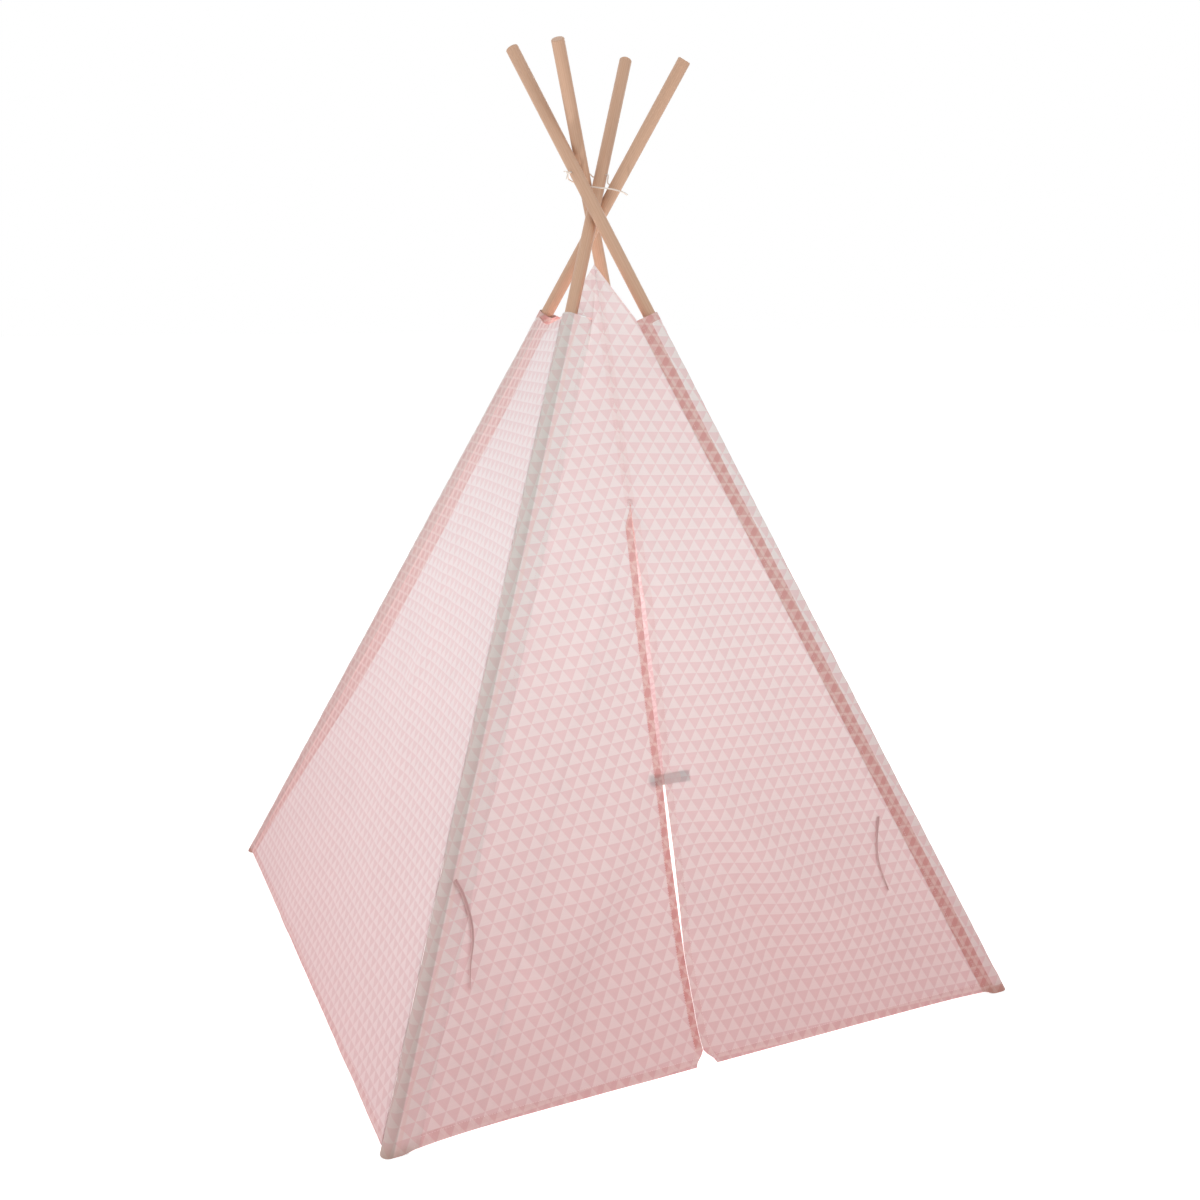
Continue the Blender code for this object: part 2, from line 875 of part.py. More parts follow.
def add_tie(label, sleeve):
    side = -1 if label == "left" else 1
    top = tie_top_heights[label]
    start_x = on_axis(sleeve, top).x - side * tie_insets[label]
    slope = (front_point(0, top) - front_point(0, 0)).length / top
    flat = [Vector((start_x + x, top - down / slope, 0)) for x, down in tie_routes[label]]
    places = smooth_route(flat, tie_width * 1.5)
    up = len(places) - 1

    def place(share, rise):
        index = round((1 - rise) * up)
        here = places[index]
        ahead = (places[min(index + 1, up)] - places[max(index - 1, 0)]).normalized()
        level = Vector((-ahead.y, ahead.x, 0)) * (tie_width * (0.5 - share))
        spot = here + level
        lift = tie_lift + tie_thickness
        return front_point(spot.x, spot.y, lift), False

    bm = bmesh.new()
    bmesh.ops.create_grid(bm, x_segments=2, y_segments=up, size=0.5)
    for vert in bm.verts:
        vert.co, _ = place(vert.co.x + 0.5, vert.co.y + 0.5)
    bmesh.ops.recalc_face_normals(bm, faces=bm.faces)
    if sum((face.normal.y for face in bm.faces), 0.0) > 0:
        bmesh.ops.reverse_faces(bm, faces=bm.faces)
    mesh = mesh_from(bm, f"{label}_tie")
    tie = add_object(f"{label}_tie", mesh, (0.84, 0.55, 0.58), 0.9, parent=pivots[sleeve])
    shell = tie.modifiers.new("tape", "SOLIDIFY")
    shell.thickness = tie_thickness
    shell.offset = -1


# Lashing: one cord through all four drilled holes, its ends tied in a knot beside the front pole.


def through_hole(name):
    middle, heading = cord_hole(name)
    reach = pole_radius + cord_lead
    return [middle + heading * reach * share for share in (-1.0, -0.5, 0.0, 0.5, 1.0)]


def near_crossing(shares):
    """A place counted in pole diameters from the middle of the crossing."""
    middle = Vector((0, -crossing_forward, crossing_height))
    return middle + Vector(shares) * pole_diameter


def lash_route():
    """The cord's way, and the middle of the knot that joins its two ends."""
    first = through_hole("front_right")
    reach = knot_radius + knot_gap
    knot = first[0] + (first[0] - first[1]).normalized() * reach
    end = Vector(knot_end_shares).normalized()
    return knot, [
        *first,
        *through_hole("back_right"),
        near_crossing(cord_turn_share),
        *through_hole("front_left"),
        *through_hole("back_left"),
        *(near_crossing(shares) for shares in cord_return_shares),
        knot + end * (reach + cord_lead),
        knot + end * reach,
    ]


def add_lashing():
    cream = (0.80, 0.70, 0.58)
    knot_place, route = lash_route()
    places = smooth_route(route, cord_diameter * cord_step_diameters)
    curve = bpy.data.curves.new("lash_cord", "CURVE")
    curve.dimensions = "3D"
    curve.bevel_depth = cord_radius
    curve.bevel_resolution = 2
    curve.use_fill_caps = True
    spline = curve.splines.new("POLY")
    spline.points.add(len(places) - 1)
    for point, place in zip(spline.points, places):
        point.co = (*place, 1.0)
    curve.materials.append(make_material("lash_cord", cream, 0.9))
    parts.objects.link(bpy.data.objects.new("lash_cord", curve))
    bm = bmesh.new()
    bmesh.ops.create_uvsphere(bm, u_segments=12, v_segments=8, radius=knot_radius)
    knot = add_object("lash_knot", mesh_from(bm, "lash_knot"), cream, 0.9)
    knot.location = knot_place


add_poles()
for corner in corners:
    add_sleeve(corner)
add_walls()
add_front_panels()
add_flap_pivots()
add_flaps()
add_closure()
add_tie("left", "front_left")
add_tie("right", "front_right")
add_lashing()
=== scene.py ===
# Kids teepee: printed cotton walls on four crossed wooden poles, a slit door, ties and a lashing.
# X runs to the right of the door, Y to the back, metres throughout.

import math
from functools import partial

import bpy
import numpy as np
from mathutils import Matrix, Vector, noise


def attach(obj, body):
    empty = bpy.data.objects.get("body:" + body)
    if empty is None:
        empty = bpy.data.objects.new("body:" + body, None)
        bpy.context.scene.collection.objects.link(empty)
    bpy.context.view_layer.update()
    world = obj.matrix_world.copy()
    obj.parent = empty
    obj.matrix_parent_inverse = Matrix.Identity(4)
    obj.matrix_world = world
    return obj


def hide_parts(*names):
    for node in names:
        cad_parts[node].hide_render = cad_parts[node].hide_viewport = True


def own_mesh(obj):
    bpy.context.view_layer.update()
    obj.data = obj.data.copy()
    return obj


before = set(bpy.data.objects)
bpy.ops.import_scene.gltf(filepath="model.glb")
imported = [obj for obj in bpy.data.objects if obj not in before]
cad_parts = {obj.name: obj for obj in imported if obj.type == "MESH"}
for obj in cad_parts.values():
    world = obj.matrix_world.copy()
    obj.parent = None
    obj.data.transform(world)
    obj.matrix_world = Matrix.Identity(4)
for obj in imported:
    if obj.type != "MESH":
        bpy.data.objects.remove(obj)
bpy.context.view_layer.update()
print("frame loaded")

# Camera at the place the photograph was taken from
camera = {
    "place": (-0.9401, -2.1170, 1.2035),
    "yaw": -24.47,
    "pitch": -13.77,
    "roll": 0.42,
    "lens": 38.40,
    "sensor": 36.0,
}


def addCamera():
    yaw, pitch, roll = (math.radians(camera[turn]) for turn in ("yaw", "pitch", "roll"))
    forward = Vector(
        (-math.sin(yaw) * math.cos(pitch), math.cos(yaw) * math.cos(pitch), math.sin(pitch))
    )
    level = Vector((math.cos(yaw), math.sin(yaw), 0))
    upward = level.cross(forward)
    right = level * math.cos(roll) + upward * math.sin(roll)
    up = upward * math.cos(roll) - level * math.sin(roll)
    data = bpy.data.cameras.new("photoCamera")
    data.lens = camera["lens"]
    data.sensor_fit = "HORIZONTAL"
    data.sensor_width = camera["sensor"]
    data.dof.use_dof = False
    made = bpy.data.objects.new("photoCamera", data)
    bpy.context.scene.collection.objects.link(made)
    made.matrix_world = Matrix.Translation(camera["place"]) @ Matrix(
        (
            (right.x, up.x, -forward.x, 0),
            (right.y, up.y, -forward.y, 0),
            (right.z, up.z, -forward.z, 0),
            (0, 0, 0, 1),
        )
    )
    bpy.context.scene.camera = made


addCamera()

# The same named sizes as in the CAD source
size = {
    "poleRadius": 0.011,
    "baseHalfWidth": 0.55,
    "crossingHeight": 1.33,
    "crossingForward": 0.020,
    "poleStep": 0.023,
    "sleeveRadius": 0.014,
    "sleeveInnerRadius": 0.013,
    "cloth": 0.001,
    "pocketReach": 0.036,
    "pocketSeam": 0.008,
    "seamGap": 0.00005,
    "wallCloth": 0.0008,
    "sleeveTop": 1.155,
    "hem": 0.010,
    "hemHeight": 0.014,
    "wallTop": 1.151,
    "topDip": 0.014,
    "wallSag": 0.012,
    "foldDepth": 0.005,
    "slitTop": 0.853,
    "slitTopOffset": -0.032,
    "slitGapLeast": 0.0008,
    "slitGapMost": 0.0082,
    "notchWidth": 0.036,
    "notchHeight": 0.024,
    "peak": 1.239,
    "peakOffset": -0.034,
    "foldInset": 0.085,
}

corners = {
    "front_left": (-1, -1),
    "front_right": (1, -1),
    "back_left": (-1, 1),
    "back_right": (1, 1),
}
crossingShares = {
    "front_right": (-4 / 6, -5 / 6),
    "front_left": (-2 / 6, 1 / 6),
    "back_left": (4 / 6, 5 / 6),
    "back_right": (2 / 6, 2 / 6),
}


def crossingPlaces():
    lean = math.atan(math.sqrt(2) * size["baseHalfWidth"] / size["crossingHeight"])
    tilt = math.sqrt(2) * math.cos(lean)
    neighbour = size["poleStep"] * math.hypot(tilt, math.sin(lean)) / tilt
    places = {
        name: Vector((x * neighbour, y * neighbour, size["crossingHeight"]))
        for name, (x, y) in crossingShares.items()
    }
    front, back = places["front_left"], places["back_right"]
    back.y = back.x - (front.x - front.y) + size["poleStep"] * math.sqrt(2)
    middle = sum(place.y for place in places.values()) / len(places)
    for place in places.values():
        place.y -= middle + size["crossingForward"]
    return places


crossing = crossingPlaces()
foot = {
    name: Vector((x * size["baseHalfWidth"], y * size["baseHalfWidth"], 0))
    for name, (x, y) in corners.items()
}
axis = {name: (crossing[name] - foot[name]).normalized() for name in corners}


def onAxis(name, height):
    return foot[name] + axis[name] * (height / axis[name].z)


def acrossPole(name, toward):
    return (toward - axis[name] * toward.dot(axis[name])).normalized()


def pocketFrame(name):
    x, y = corners[name]
    inward = acrossPole(name, Vector((-x, 0, 0)))
    outward = axis[name].cross(inward)
    return inward, outward * (1 if outward.y * y > 0 else -1)


def sideFrame(name):
    x, y = corners[name]
    inward = acrossPole(name, Vector((0, -y, 0)))
    outward = axis[name].cross(inward)
    return inward, outward * (1 if outward.x * x > 0 else -1)


def carried(name, side, height):
    # a line beside the pole, at a height above the floor
    return foot[name] + side + axis[name] * ((height - side.z) / axis[name].z)


def pocketEdge(name, height):
    inward, outward = pocketFrame(name)
    reach = size["pocketReach"] + size["seamGap"]
    return carried(name, inward * reach + outward * size["sleeveRadius"], height)


def tunnelEdge(name, height):
    inward, outward = sideFrame(name)
    depth = size["sleeveRadius"] - size["wallCloth"]
    reach = math.sqrt(size["sleeveRadius"] ** 2 - depth**2) + size["seamGap"]
    return carried(name, inward * reach + outward * size["sleeveRadius"], height)


def smoothStep(value):
    value = min(1.0, max(0.0, value))
    return value * value * (3 - 2 * value)


def alongList(points, share):
    share = min(1.0, max(0.0, share))
    for (low, start), (high, end) in zip(points, points[1:]):
        if share <= high:
            return start + (end - start) * (share - low) / (high - low)
    return points[-1][1]


def linkObject(name, mesh):
    made = bpy.data.objects.new(name, mesh)
    bpy.context.scene.collection.objects.link(made)
    return made


def meshFrom(name, points, faces, plan=None, marks=None, sharpAngle=50):
    # closed mesh with its plan in metres as a UV map and its marks as attributes
    mesh = bpy.data.meshes.new(name)
    mesh.from_pydata([tuple(point) for point in points], [], faces)
    if plan is not None:
        layer = mesh.uv_layers.new(name="clothPlan")
        index = np.empty(len(mesh.loops), np.int32)
        mesh.loops.foreach_get("vertex_index", index)
        layer.data.foreach_set("uv", np.asarray(plan, np.float32)[index].ravel())
    for mark, values in (marks or {}).items():
        attribute = mesh.attributes.new(mark, "FLOAT", "POINT")
        attribute.data.foreach_set("value", np.asarray(values, np.float32).ravel())
    mesh.shade_smooth()
    mesh.set_sharp_from_angle(angle=math.radians(sharpAngle))
    mesh.update()
    return mesh


def shell(name, outer, plan, marks, thickness, outward, material):
    # thin closed cloth from a grid of places on its outer face
    rows, columns = outer.shape[:2]
    normal = np.cross(np.gradient(outer, axis=1), np.gradient(outer, axis=0))
    normal /= np.maximum(np.linalg.norm(normal, axis=2, keepdims=True), 1e-12)
    turned = float((normal @ np.array(outward)).mean()) < 0
    if turned:
        normal = -normal
    count = rows * columns
    points = np.concatenate([outer.reshape(-1, 3), (outer - normal * thickness).reshape(-1, 3)])
    at = np.arange(count).reshape(rows, columns)
    quads = np.stack([at[:-1, :-1], at[:-1, 1:], at[1:, 1:], at[1:, :-1]], axis=-1).reshape(-1, 4)
    ring = np.concatenate([at[0, :-1], at[:-1, -1], at[-1, :0:-1], at[:0:-1, 0]])
    after = np.roll(ring, -1)
    rim = np.stack([after, ring, ring + count, after + count], axis=-1)
    faces = np.concatenate([quads, quads[:, ::-1] + count, rim])
    if turned:
        faces = faces[:, ::-1]
    plan = np.concatenate([plan.reshape(-1, 2)] * 2)
    marks = {mark: np.concatenate([values.ravel()] * 2) for mark, values in marks.items()}
    made = linkObject(name, meshFrom(name, points, faces.tolist(), plan, marks))
    made.data.materials.append(material)
    return made


def colour(code):
    # sRGB hex to linear
    parts = [int(code[place : place + 2], 16) / 255 for place in (1, 3, 5)]
    parts = [part / 12.92 if part <= 0.04045 else ((part + 0.055) / 1.055) ** 2.4 for part in parts]
    return (*parts, 1.0)


# The sockets that values go to in turn, and the one that is read, where they aren't the first
mixSockets = {"ShaderNodeMix": ((0, 6, 7), 2)}
colourMix = {"data_type": "RGBA"}


def addNode(tree, kind, settings=None, *values, **more):
    # one node with its settings, or its operation, and a value or a link for each input
    if isinstance(settings, str):
        settings = {"operation": settings}
    node = tree.nodes.new(kind)
    for key, value in {**(settings or {}), **more}.items():
        setattr(node, key, value)
    named = values[0] if values and isinstance(values[0], dict) else None
    order = mixSockets.get(kind, (range(len(values)), 0))[0]
    for key, value in (zip(order, values) if named is None else named.items()):
        if isinstance(value, bpy.types.Node):
            value = value.outputs[mixSockets.get(value.bl_idname, (None, 0))[1]]
        if isinstance(value, bpy.types.NodeSocket):
            tree.links.new(value, node.inputs[key])
        else:
            node.inputs[key].default_value = value
    return node


def newMaterial(name):
    material = bpy.data.materials.new(name)
    material.use_nodes = True
    tree = material.node_tree
    tree.nodes.clear()
    return material, tree


def finishMaterial(tree, base, roughness, height, fixed=None):
    inputs = {"Strength": 1.0, "Distance": 1.0, "Height": height}
    normal = addNode(tree, "ShaderNodeBump", None, inputs).outputs[0]
    inputs = {"Base Color": base, "Roughness": roughness, "Normal": normal, **(fixed or {})}
    shader = addNode(tree, "ShaderNodeBsdfPrincipled", None, inputs)
    addNode(tree, "ShaderNodeOutputMaterial", None, {"Surface": shader.outputs[0]})


def stretchedNoise(tree, place, scale, detail=2.0, stretch=(1, 1, 1), roughness=0.5):
    mapped = addNode(tree, "ShaderNodeMapping", None, {"Vector": place, "Scale": stretch})
    inputs = {"Vector": mapped.outputs[0], "Scale": scale, "Detail": detail, "Roughness": roughness}
    return addNode(tree, "ShaderNodeTexNoise", None, inputs).outputs[0]


# Plain-weave cotton, printed with rows of triangles: matt, faintly slubby, and darker where
# doubled, a painted shade for the light that the second layer holds back.
# The plain walls and the sleeves have paler tones than the front, as they look in the photograph:
# painted light, paler copies of the same cloth for the stronger light on the walls and for the glow
# from inside that the sleeves, letting no light through, lack.
cotton = {
    "ground": "#F3E4E2",
    "print": "#ECD0D0",
    "litWallGround": "#F5E6E6",
    "litWallPrint": "#EDD4D5",
    "litSleeveGround": "#FFF2EF",
    "litSleevePrint": "#FBDFDE",
    "doubled": "#ECD0CA",
    "hiddenPrintShade": "#F3DAD8",
    "hiddenShift": (0.0087, 0.0041),  # from the outer layer's print to the hidden one's
    "poleShadowTone": "#DDE4E0",
    "poleShadowAverage": "#F6DEDB",
    "poleShadowFade": 0.3,  # how far the print fades in the pole's painted shadow
    "poleShadowBlur": 0.002,
    "beside": "#FBDCD6",
    "besideGlowWidth": 0.008,
    "besideGlowShare": 0.6,
    "strapShadowTone": "#FFDCD9",
    "strapShadowShare": 0.7,
    "strapShadowBlur": 0.0007,
    "low": "#EFDADA",
    "lowShadeHeight": 0.85,
    "soil": "#A98672",
    "soilScale": 55.0,
    "soilShare": (1.2, 0.1),
    "rowHeight": 0.0185,
    "pitch": 0.0226,
    "edgeSoftness": 0.0005,
    "doubledWidth": 0.014,
    "doubledBlur": 0.0008,
    "slubScale": 260.0,
    "slubStretch": (0.16, 1.0, 1.0),
    "fadeScale": 5.0,
    "tone": (0.05, 0.955),
    "roughness": (0.12, 0.80),
    "thread": 0.0009,  # real threads stand 0.35 mm apart, drawn coarser so that they show
    "threadRelief": 0.00006,
    "creaseSize": 0.045,
    "creaseStretch": (1.0, 0.45, 1.0),
    "creaseRelief": 0.0012,
    "puckerSize": 0.011,
    "puckerRelief": 0.0009,
    "puckerReach": (0.004, 0.036),
    "glow": 0.0040,
    "glowShare": 0.6,
}


def printedCotton(name, glowShare, ground, printed):
    material, tree = newMaterial(name)
    plan = addNode(tree, "ShaderNodeUVMap", {"uv_map": "clothPlan"})
    spread = addNode(tree, "ShaderNodeSeparateXYZ", None, {0: plan})
    u, v = spread.outputs[0], spread.outputs[1]
    marks = ("edge", "layers", "pole", "strap", "soil", "dim")
    marks = [addNode(tree, "ShaderNodeAttribute", {"attribute_name": mark}) for mark in marks]
    edge, layers, pole, strap, soil, dim = (mark.outputs["Fac"] for mark in marks)
    maths = partial(addNode, tree, "ShaderNodeMath")
    add, less, times, timesAdd = (
        partial(maths, operation) for operation in ("ADD", "SUBTRACT", "MULTIPLY", "MULTIPLY_ADD")
    )
    blend = partial(addNode, tree, "ShaderNodeMix", colourMix)
    white = (1, 1, 1, 1)

    def triangles(across, up):
        # a row of triangles that point up in the ground colour, the next row half a pitch along
        row = maths("DIVIDE", up, cotton["rowHeight"])
        number = maths("FLOOR", row)
        rise = less(row, number)
        along = maths("DIVIDE", across, cotton["pitch"])
        place = maths("FRACT", timesAdd(number, -0.5, along))
        off = maths("ABSOLUTE", less(place, 0.5))
        beyond = less(off, timesAdd(rise, -0.5, 0.5))
        return timesAdd(beyond, cotton["pitch"] / cotton["edgeSoftness"], 0.5, use_clamp=True)

    def dyed(cloth, tone):
        return blend(1.0, cloth, tone, blend_type="MULTIPLY")

    cloth = blend(triangles(u, v), colour(ground), colour(printed))
    # Two layers: painted shade darkens the doubled cloth, and the hidden layer's print is painted
    # in as a second, weaker print, the shadow it casts through the cloth
    shiftX, shiftY = cotton["hiddenShift"]
    hidden = triangles(add(u, shiftX), less(shiftY, v))
    hiddenShade = blend(hidden, white, colour(cotton["hiddenPrintShade"]))
    doubledShade = dyed(dyed(cloth, colour(cotton["doubled"])), hiddenShade)
    doubled = times(less(cotton["doubledWidth"], edge), 1 / cotton["doubledBlur"], use_clamp=True)
    cloth = blend(times(doubled, layers), cloth, doubledShade)
    # Painted shadow of the pole behind the cloth: it takes warmth out of the cloth and dims the
    # print
    sharp = 1 / cotton["poleShadowBlur"]
    behind = times(dim, times(pole, sharp, use_clamp=True))
    plain = blend(cotton["poleShadowFade"], cloth, colour(cotton["poleShadowAverage"]))
    cloth = blend(behind, cloth, dyed(plain, colour(cotton["poleShadowTone"])))
    # Painted light: beside the pole's painted shadow a narrow strip is made warmer
    beside = times(add(pole, cotton["besideGlowWidth"]), sharp, use_clamp=True)
    beside = times(beside, times(pole, -sharp, use_clamp=True))
    beside = times(beside, times(dim, cotton["besideGlowShare"]))
    cloth = blend(beside, cloth, colour(cotton["beside"]))
    # Painted shadow of the closure strap and patch behind the flap, as seen through the cloth
    held = times(strap, 1 / cotton["strapShadowBlur"], use_clamp=True)
    held = times(held, cotton["strapShadowShare"])
    cloth = blend(held, cloth, colour(cotton["strapShadowTone"]))
    # Painted shade: the cloth is made darker and rosier toward the hem, where less light reaches
    # it, and slubs and fading make it uneven
    depth = timesAdd(v, -1 / cotton["lowShadeHeight"], 1.0, use_clamp=True)
    cloth = blend(depth, cloth, dyed(cloth, colour(cotton["low"])))
    slub = stretchedNoise(tree, plan, cotton["slubScale"], 3.0, cotton["slubStretch"])
    fade = stretchedNoise(tree, plan, cotton["fadeScale"], 2.0)
    swing, least = cotton["tone"]
    tone = timesAdd(fade, swing, timesAdd(slub, swing, least))
    toned = addNode(tree, "ShaderNodeCombineXYZ", None, {0: tone, 1: tone, 2: tone}).outputs[0]
    cloth = dyed(cloth, toned)
    blotch = stretchedNoise(tree, plan, cotton["soilScale"], 4.0)
    dirt = times(soil, timesAdd(blotch, *cotton["soilShare"]), use_clamp=True)
    cloth = blend(dirt, cloth, colour(cotton["soil"]))
    # Threads, soft creases, and puckers that gather at every sewn edge
    turn = 2 * math.pi / cotton["thread"]
    warp, weft = (maths("SINE", times(way, turn)) for way in (u, v))
    weave = times(times(warp, weft), cotton["threadRelief"])
    folds = stretchedNoise(tree, plan, 1 / cotton["creaseSize"], 3.0, cotton["creaseStretch"], 0.45)
    relief = timesAdd(folds, cotton["creaseRelief"], weave)
    close, far = cotton["puckerReach"]
    limits = {0: edge, 1: close, 2: far, 3: 1.0, 4: 0.0}
    settings = {"interpolation_type": "SMOOTHSTEP"}
    near = addNode(tree, "ShaderNodeMapRange", settings, limits).outputs[0]
    pucker = stretchedNoise(tree, plan, 1 / cotton["puckerSize"], 1.5)
    relief = timesAdd(pucker, times(near, cotton["puckerRelief"]), relief)
    fixed = {
        "Specular IOR Level": 0.25,
        "Sheen Weight": 0.12,
        "Sheen Roughness": 0.5,
        "Subsurface Weight": glowShare,
        "Subsurface Radius": (1.0, 1.0, 1.0),
        "Subsurface Scale": cotton["glow"],
    }
    finishMaterial(tree, cloth, timesAdd(slub, *cotton["roughness"]), relief, fixed)
    return material


# Light passes through the single cloth of the walls, but not through the doubled sleeves; the
# walls' and sleeves' paler tones are painted light
cottonCloth, wallCloth, litSleeveCloth = (
    printedCotton("cottonPlainWeavePrinted" + label, share, cotton[ground], cotton[printed])
    for label, share, ground, printed in (
        ("", cotton["glowShare"], "ground", "print"),
        ("PaintedLight", cotton["glowShare"], "litWallGround", "litWallPrint"),
        ("DoubledPaintedLight", 0.0, "litSleeveGround", "litSleevePrint"),
    )
)

# Cotton twill tape, dyed rose: a close diagonal rib and a paler selvedge
tape = {
    "rose": "#CF9C9B",
    "paleRose": "#E8C4C1",
    "light": "#EBC5C2",
    "rib": 0.0011,
    "ribShare": 0.12,
    "ribRelief": 0.0001,
    "fuzzScale": 700.0,
    "fuzzShare": 0.3,
    "selvedge": (0.0011, 900.0, 0.55),  # width, sharpness and share
    "roughness": (0.15, 0.78),
}


def twillTape(name, rose, light, glowShare):
    material, tree = newMaterial(name)
    maths = partial(addNode, tree, "ShaderNodeMath")
    times, timesAdd = partial(maths, "MULTIPLY"), partial(maths, "MULTIPLY_ADD")
    plan = addNode(tree, "ShaderNodeUVMap", {"uv_map": "clothPlan"})
    spread = addNode(tree, "ShaderNodeSeparateXYZ", None, {0: plan})
    slant = maths("ADD", spread.outputs[0], spread.outputs[1])
    rib = maths("SINE", times(slant, 2 * math.pi / tape["rib"]))
    fuzz = stretchedNoise(tree, plan, tape["fuzzScale"], 2.0)
    share = timesAdd(rib, tape["ribShare"], times(fuzz, tape["fuzzShare"]))
    width, sharpness, paler = tape["selvedge"]
    edge = addNode(tree, "ShaderNodeAttribute", {"attribute_name": "edge"}).outputs["Fac"]
    selvedge = maths("SUBTRACT", width, edge)
    share = timesAdd(times(selvedge, sharpness, use_clamp=True), paler, share, use_clamp=True)
    base = addNode(tree, "ShaderNodeMix", colourMix, share, colour(rose), colour(light))
    fixed = {
        "Sheen Weight": 0.1,
        "Subsurface Weight": glowShare,
        "Subsurface Radius": (1.0, 1.0, 1.0),
        "Subsurface Scale": cotton["glow"],
    }
    rough = timesAdd(fuzz, *tape["roughness"])
    finishMaterial(tree, base, rough, times(rib, tape["ribRelief"]), fixed)
    return material


tieTape = twillTape("cottonTwillTapeRose", tape["rose"], tape["light"], 0.0)
closureTape = twillTape("cottonTwillTapePale", tape["paleRose"], tape["light"], 0.7)

# Beech dowel, turned and sanded: pale, even, with fine grain along the pole and rings on its ends
beech = {
    "pale": "#D9B59A",
    "warm": "#C4977A",
    "fleck": "#A67E62",
    "ring": 0.0032,
    "ringOffset": 0.034,
    "ringSharpness": 2.2,
    "waverScale": 60.0,
    "waverReach": 0.0028,
    "waverStretch": 0.02,
    "fleckLength": 0.014,
    "fleckWidth": 0.0014,
    "fleckLimits": (0.62, 0.78),
    "fleckShare": 0.22,
    "streaks": (420.0, 420.0, 9.0),
    "clouds": (30.0, 30.0, 2.6),
    "shares": (0.38, 0.45, 0.5, 0.2),  # of rings, streaks and clouds, and what is taken off
    "roughness": (0.18, 0.42),
    "relief": 0.00002,
}


def alongPole(tree, name, start):
    # places in a frame that lies along the pole and begins at the start
    place = addNode(tree, "ShaderNodeTexCoord").outputs["Object"]
    turn = axis[name].to_track_quat("Z", "Y").inverted().to_euler()
    start = start.copy()
    start.rotate(turn)
    inputs = {"Vector": place, "Rotation": tuple(turn), "Location": tuple(-start)}
    return addNode(tree, "ShaderNodeMapping", None, inputs).outputs[0]


def dowelWood(name, pith):
    material, tree = newMaterial("beechDowelSanded_" + name)
    maths = partial(addNode, tree, "ShaderNodeMath")
    times, timesAdd = partial(maths, "MULTIPLY"), partial(maths, "MULTIPLY_ADD")
    mapped = alongPole(tree, name, foot[name])
    # Rings about a pith that lies outside the dowel, wavering slowly along it
    heading = math.radians(pith)
    offset = (beech["ringOffset"] * math.cos(heading), beech["ringOffset"] * math.sin(heading), 0)
    inputs = {"Vector": mapped, "Location": offset, "Scale": (1, 1, beech["waverStretch"])}
    moved = addNode(tree, "ShaderNodeMapping", None, inputs).outputs[0]
    inputs = {"Vector": moved, "Scale": beech["waverScale"], "Detail": 2.0}
    waver = addNode(tree, "ShaderNodeTexNoise", None, inputs).outputs[1]

    reach = beech["waverReach"]
    vectors = partial(addNode, tree, "ShaderNodeVectorMath")
    drift = vectors("MULTIPLY_ADD", waver, (reach, reach, 0), moved)
    radius = vectors("LENGTH", vectors("MULTIPLY", drift, (1, 1, 0))).outputs["Value"]
    ring = maths("FRACT", maths("DIVIDE", radius, beech["ring"]))
    late = maths("POWER", ring, beech["ringSharpness"])
    fleckStretch = (1 / beech["fleckWidth"], 1 / beech["fleckWidth"], 1 / beech["fleckLength"])
    fleck = stretchedNoise(tree, mapped, 1.0, 1.5, fleckStretch)
    streak = stretchedNoise(tree, mapped, 1.0, 3.0, beech["streaks"])
    cloud = stretchedNoise(tree, mapped, 1.0, 2.0, beech["clouds"])
    ringShare, streakShare, cloudShare, less = beech["shares"]
    share = timesAdd(late, ringShare, times(streak, streakShare))
    share = timesAdd(cloud, cloudShare, maths("SUBTRACT", share, less), use_clamp=True)
    tones = [colour(beech[tone]) for tone in ("pale", "warm")]
    base = addNode(tree, "ShaderNodeMix", colourMix, share, *tones)
    low, high = beech["fleckLimits"]
    limits = {0: fleck, 1: low, 2: high, 3: 0.0, 4: beech["fleckShare"]}
    pore = addNode(tree, "ShaderNodeMapRange", None, limits).outputs[0]
    base = addNode(tree, "ShaderNodeMix", colourMix, pore, base, colour(beech["fleck"]))
    rough = timesAdd(streak, *beech["roughness"])
    fixed = {"Specular IOR Level": 0.4, "Sheen Weight": 0.3, "Sheen Roughness": 0.35}
    finishMaterial(tree, base, rough, times(streak, beech["relief"]), fixed)
    return material


# Cold-drawn steel tube, zinc plated: grey, with fine lines along it
steel = {
    "bright": "#C9CBCB",
    "dull": "#8F9392",
    "lines": (1800.0, 1800.0, 14.0),
    "cloudScale": 70.0,
    "roughness": (0.25, 0.24),
    "relief": 0.00002,
}


def drawnSteel(name):
    material, tree = newMaterial("drawnSteelTube_" + name)
    mapped = alongPole(tree, name, Vector())
    lines = stretchedNoise(tree, mapped, 1.0, 2.0, steel["lines"])
    cloud = stretchedNoise(tree, mapped, steel["cloudScale"], 3.0)
    share = addNode(tree, "ShaderNodeMath", "ADD", lines, cloud)
    share = addNode(tree, "ShaderNodeMath", "MULTIPLY", share, 0.5, use_clamp=True)
    tones = [colour(steel[tone]) for tone in ("dull", "bright")]
    base = addNode(tree, "ShaderNodeMix", colourMix, share, *tones)
    rough = addNode(tree, "ShaderNodeMath", "MULTIPLY_ADD", cloud, *steel["roughness"])
    height = addNode(tree, "ShaderNodeMath", "MULTIPLY", lines, steel["relief"])
    finishMaterial(tree, base, rough, height, {"Metallic": 1.0})
    return material


# Direction, in degrees, in which each dowel's pith lies
piths = {"front_left": 200, "front_right": 75, "back_left": 310, "back_right": 20}
for cornerName in corners:
    wood = dowelWood(cornerName, piths[cornerName])
    pieces = [(f"{cornerName}_pole_{part}", wood) for part in ("lower", "upper")]
    for pieceName, stuff in (*pieces, (f"{cornerName}_ferrule", drawnSteel(cornerName))):
        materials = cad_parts[pieceName].data.materials
        materials.clear()
        materials.append(stuff)
print("materials made")

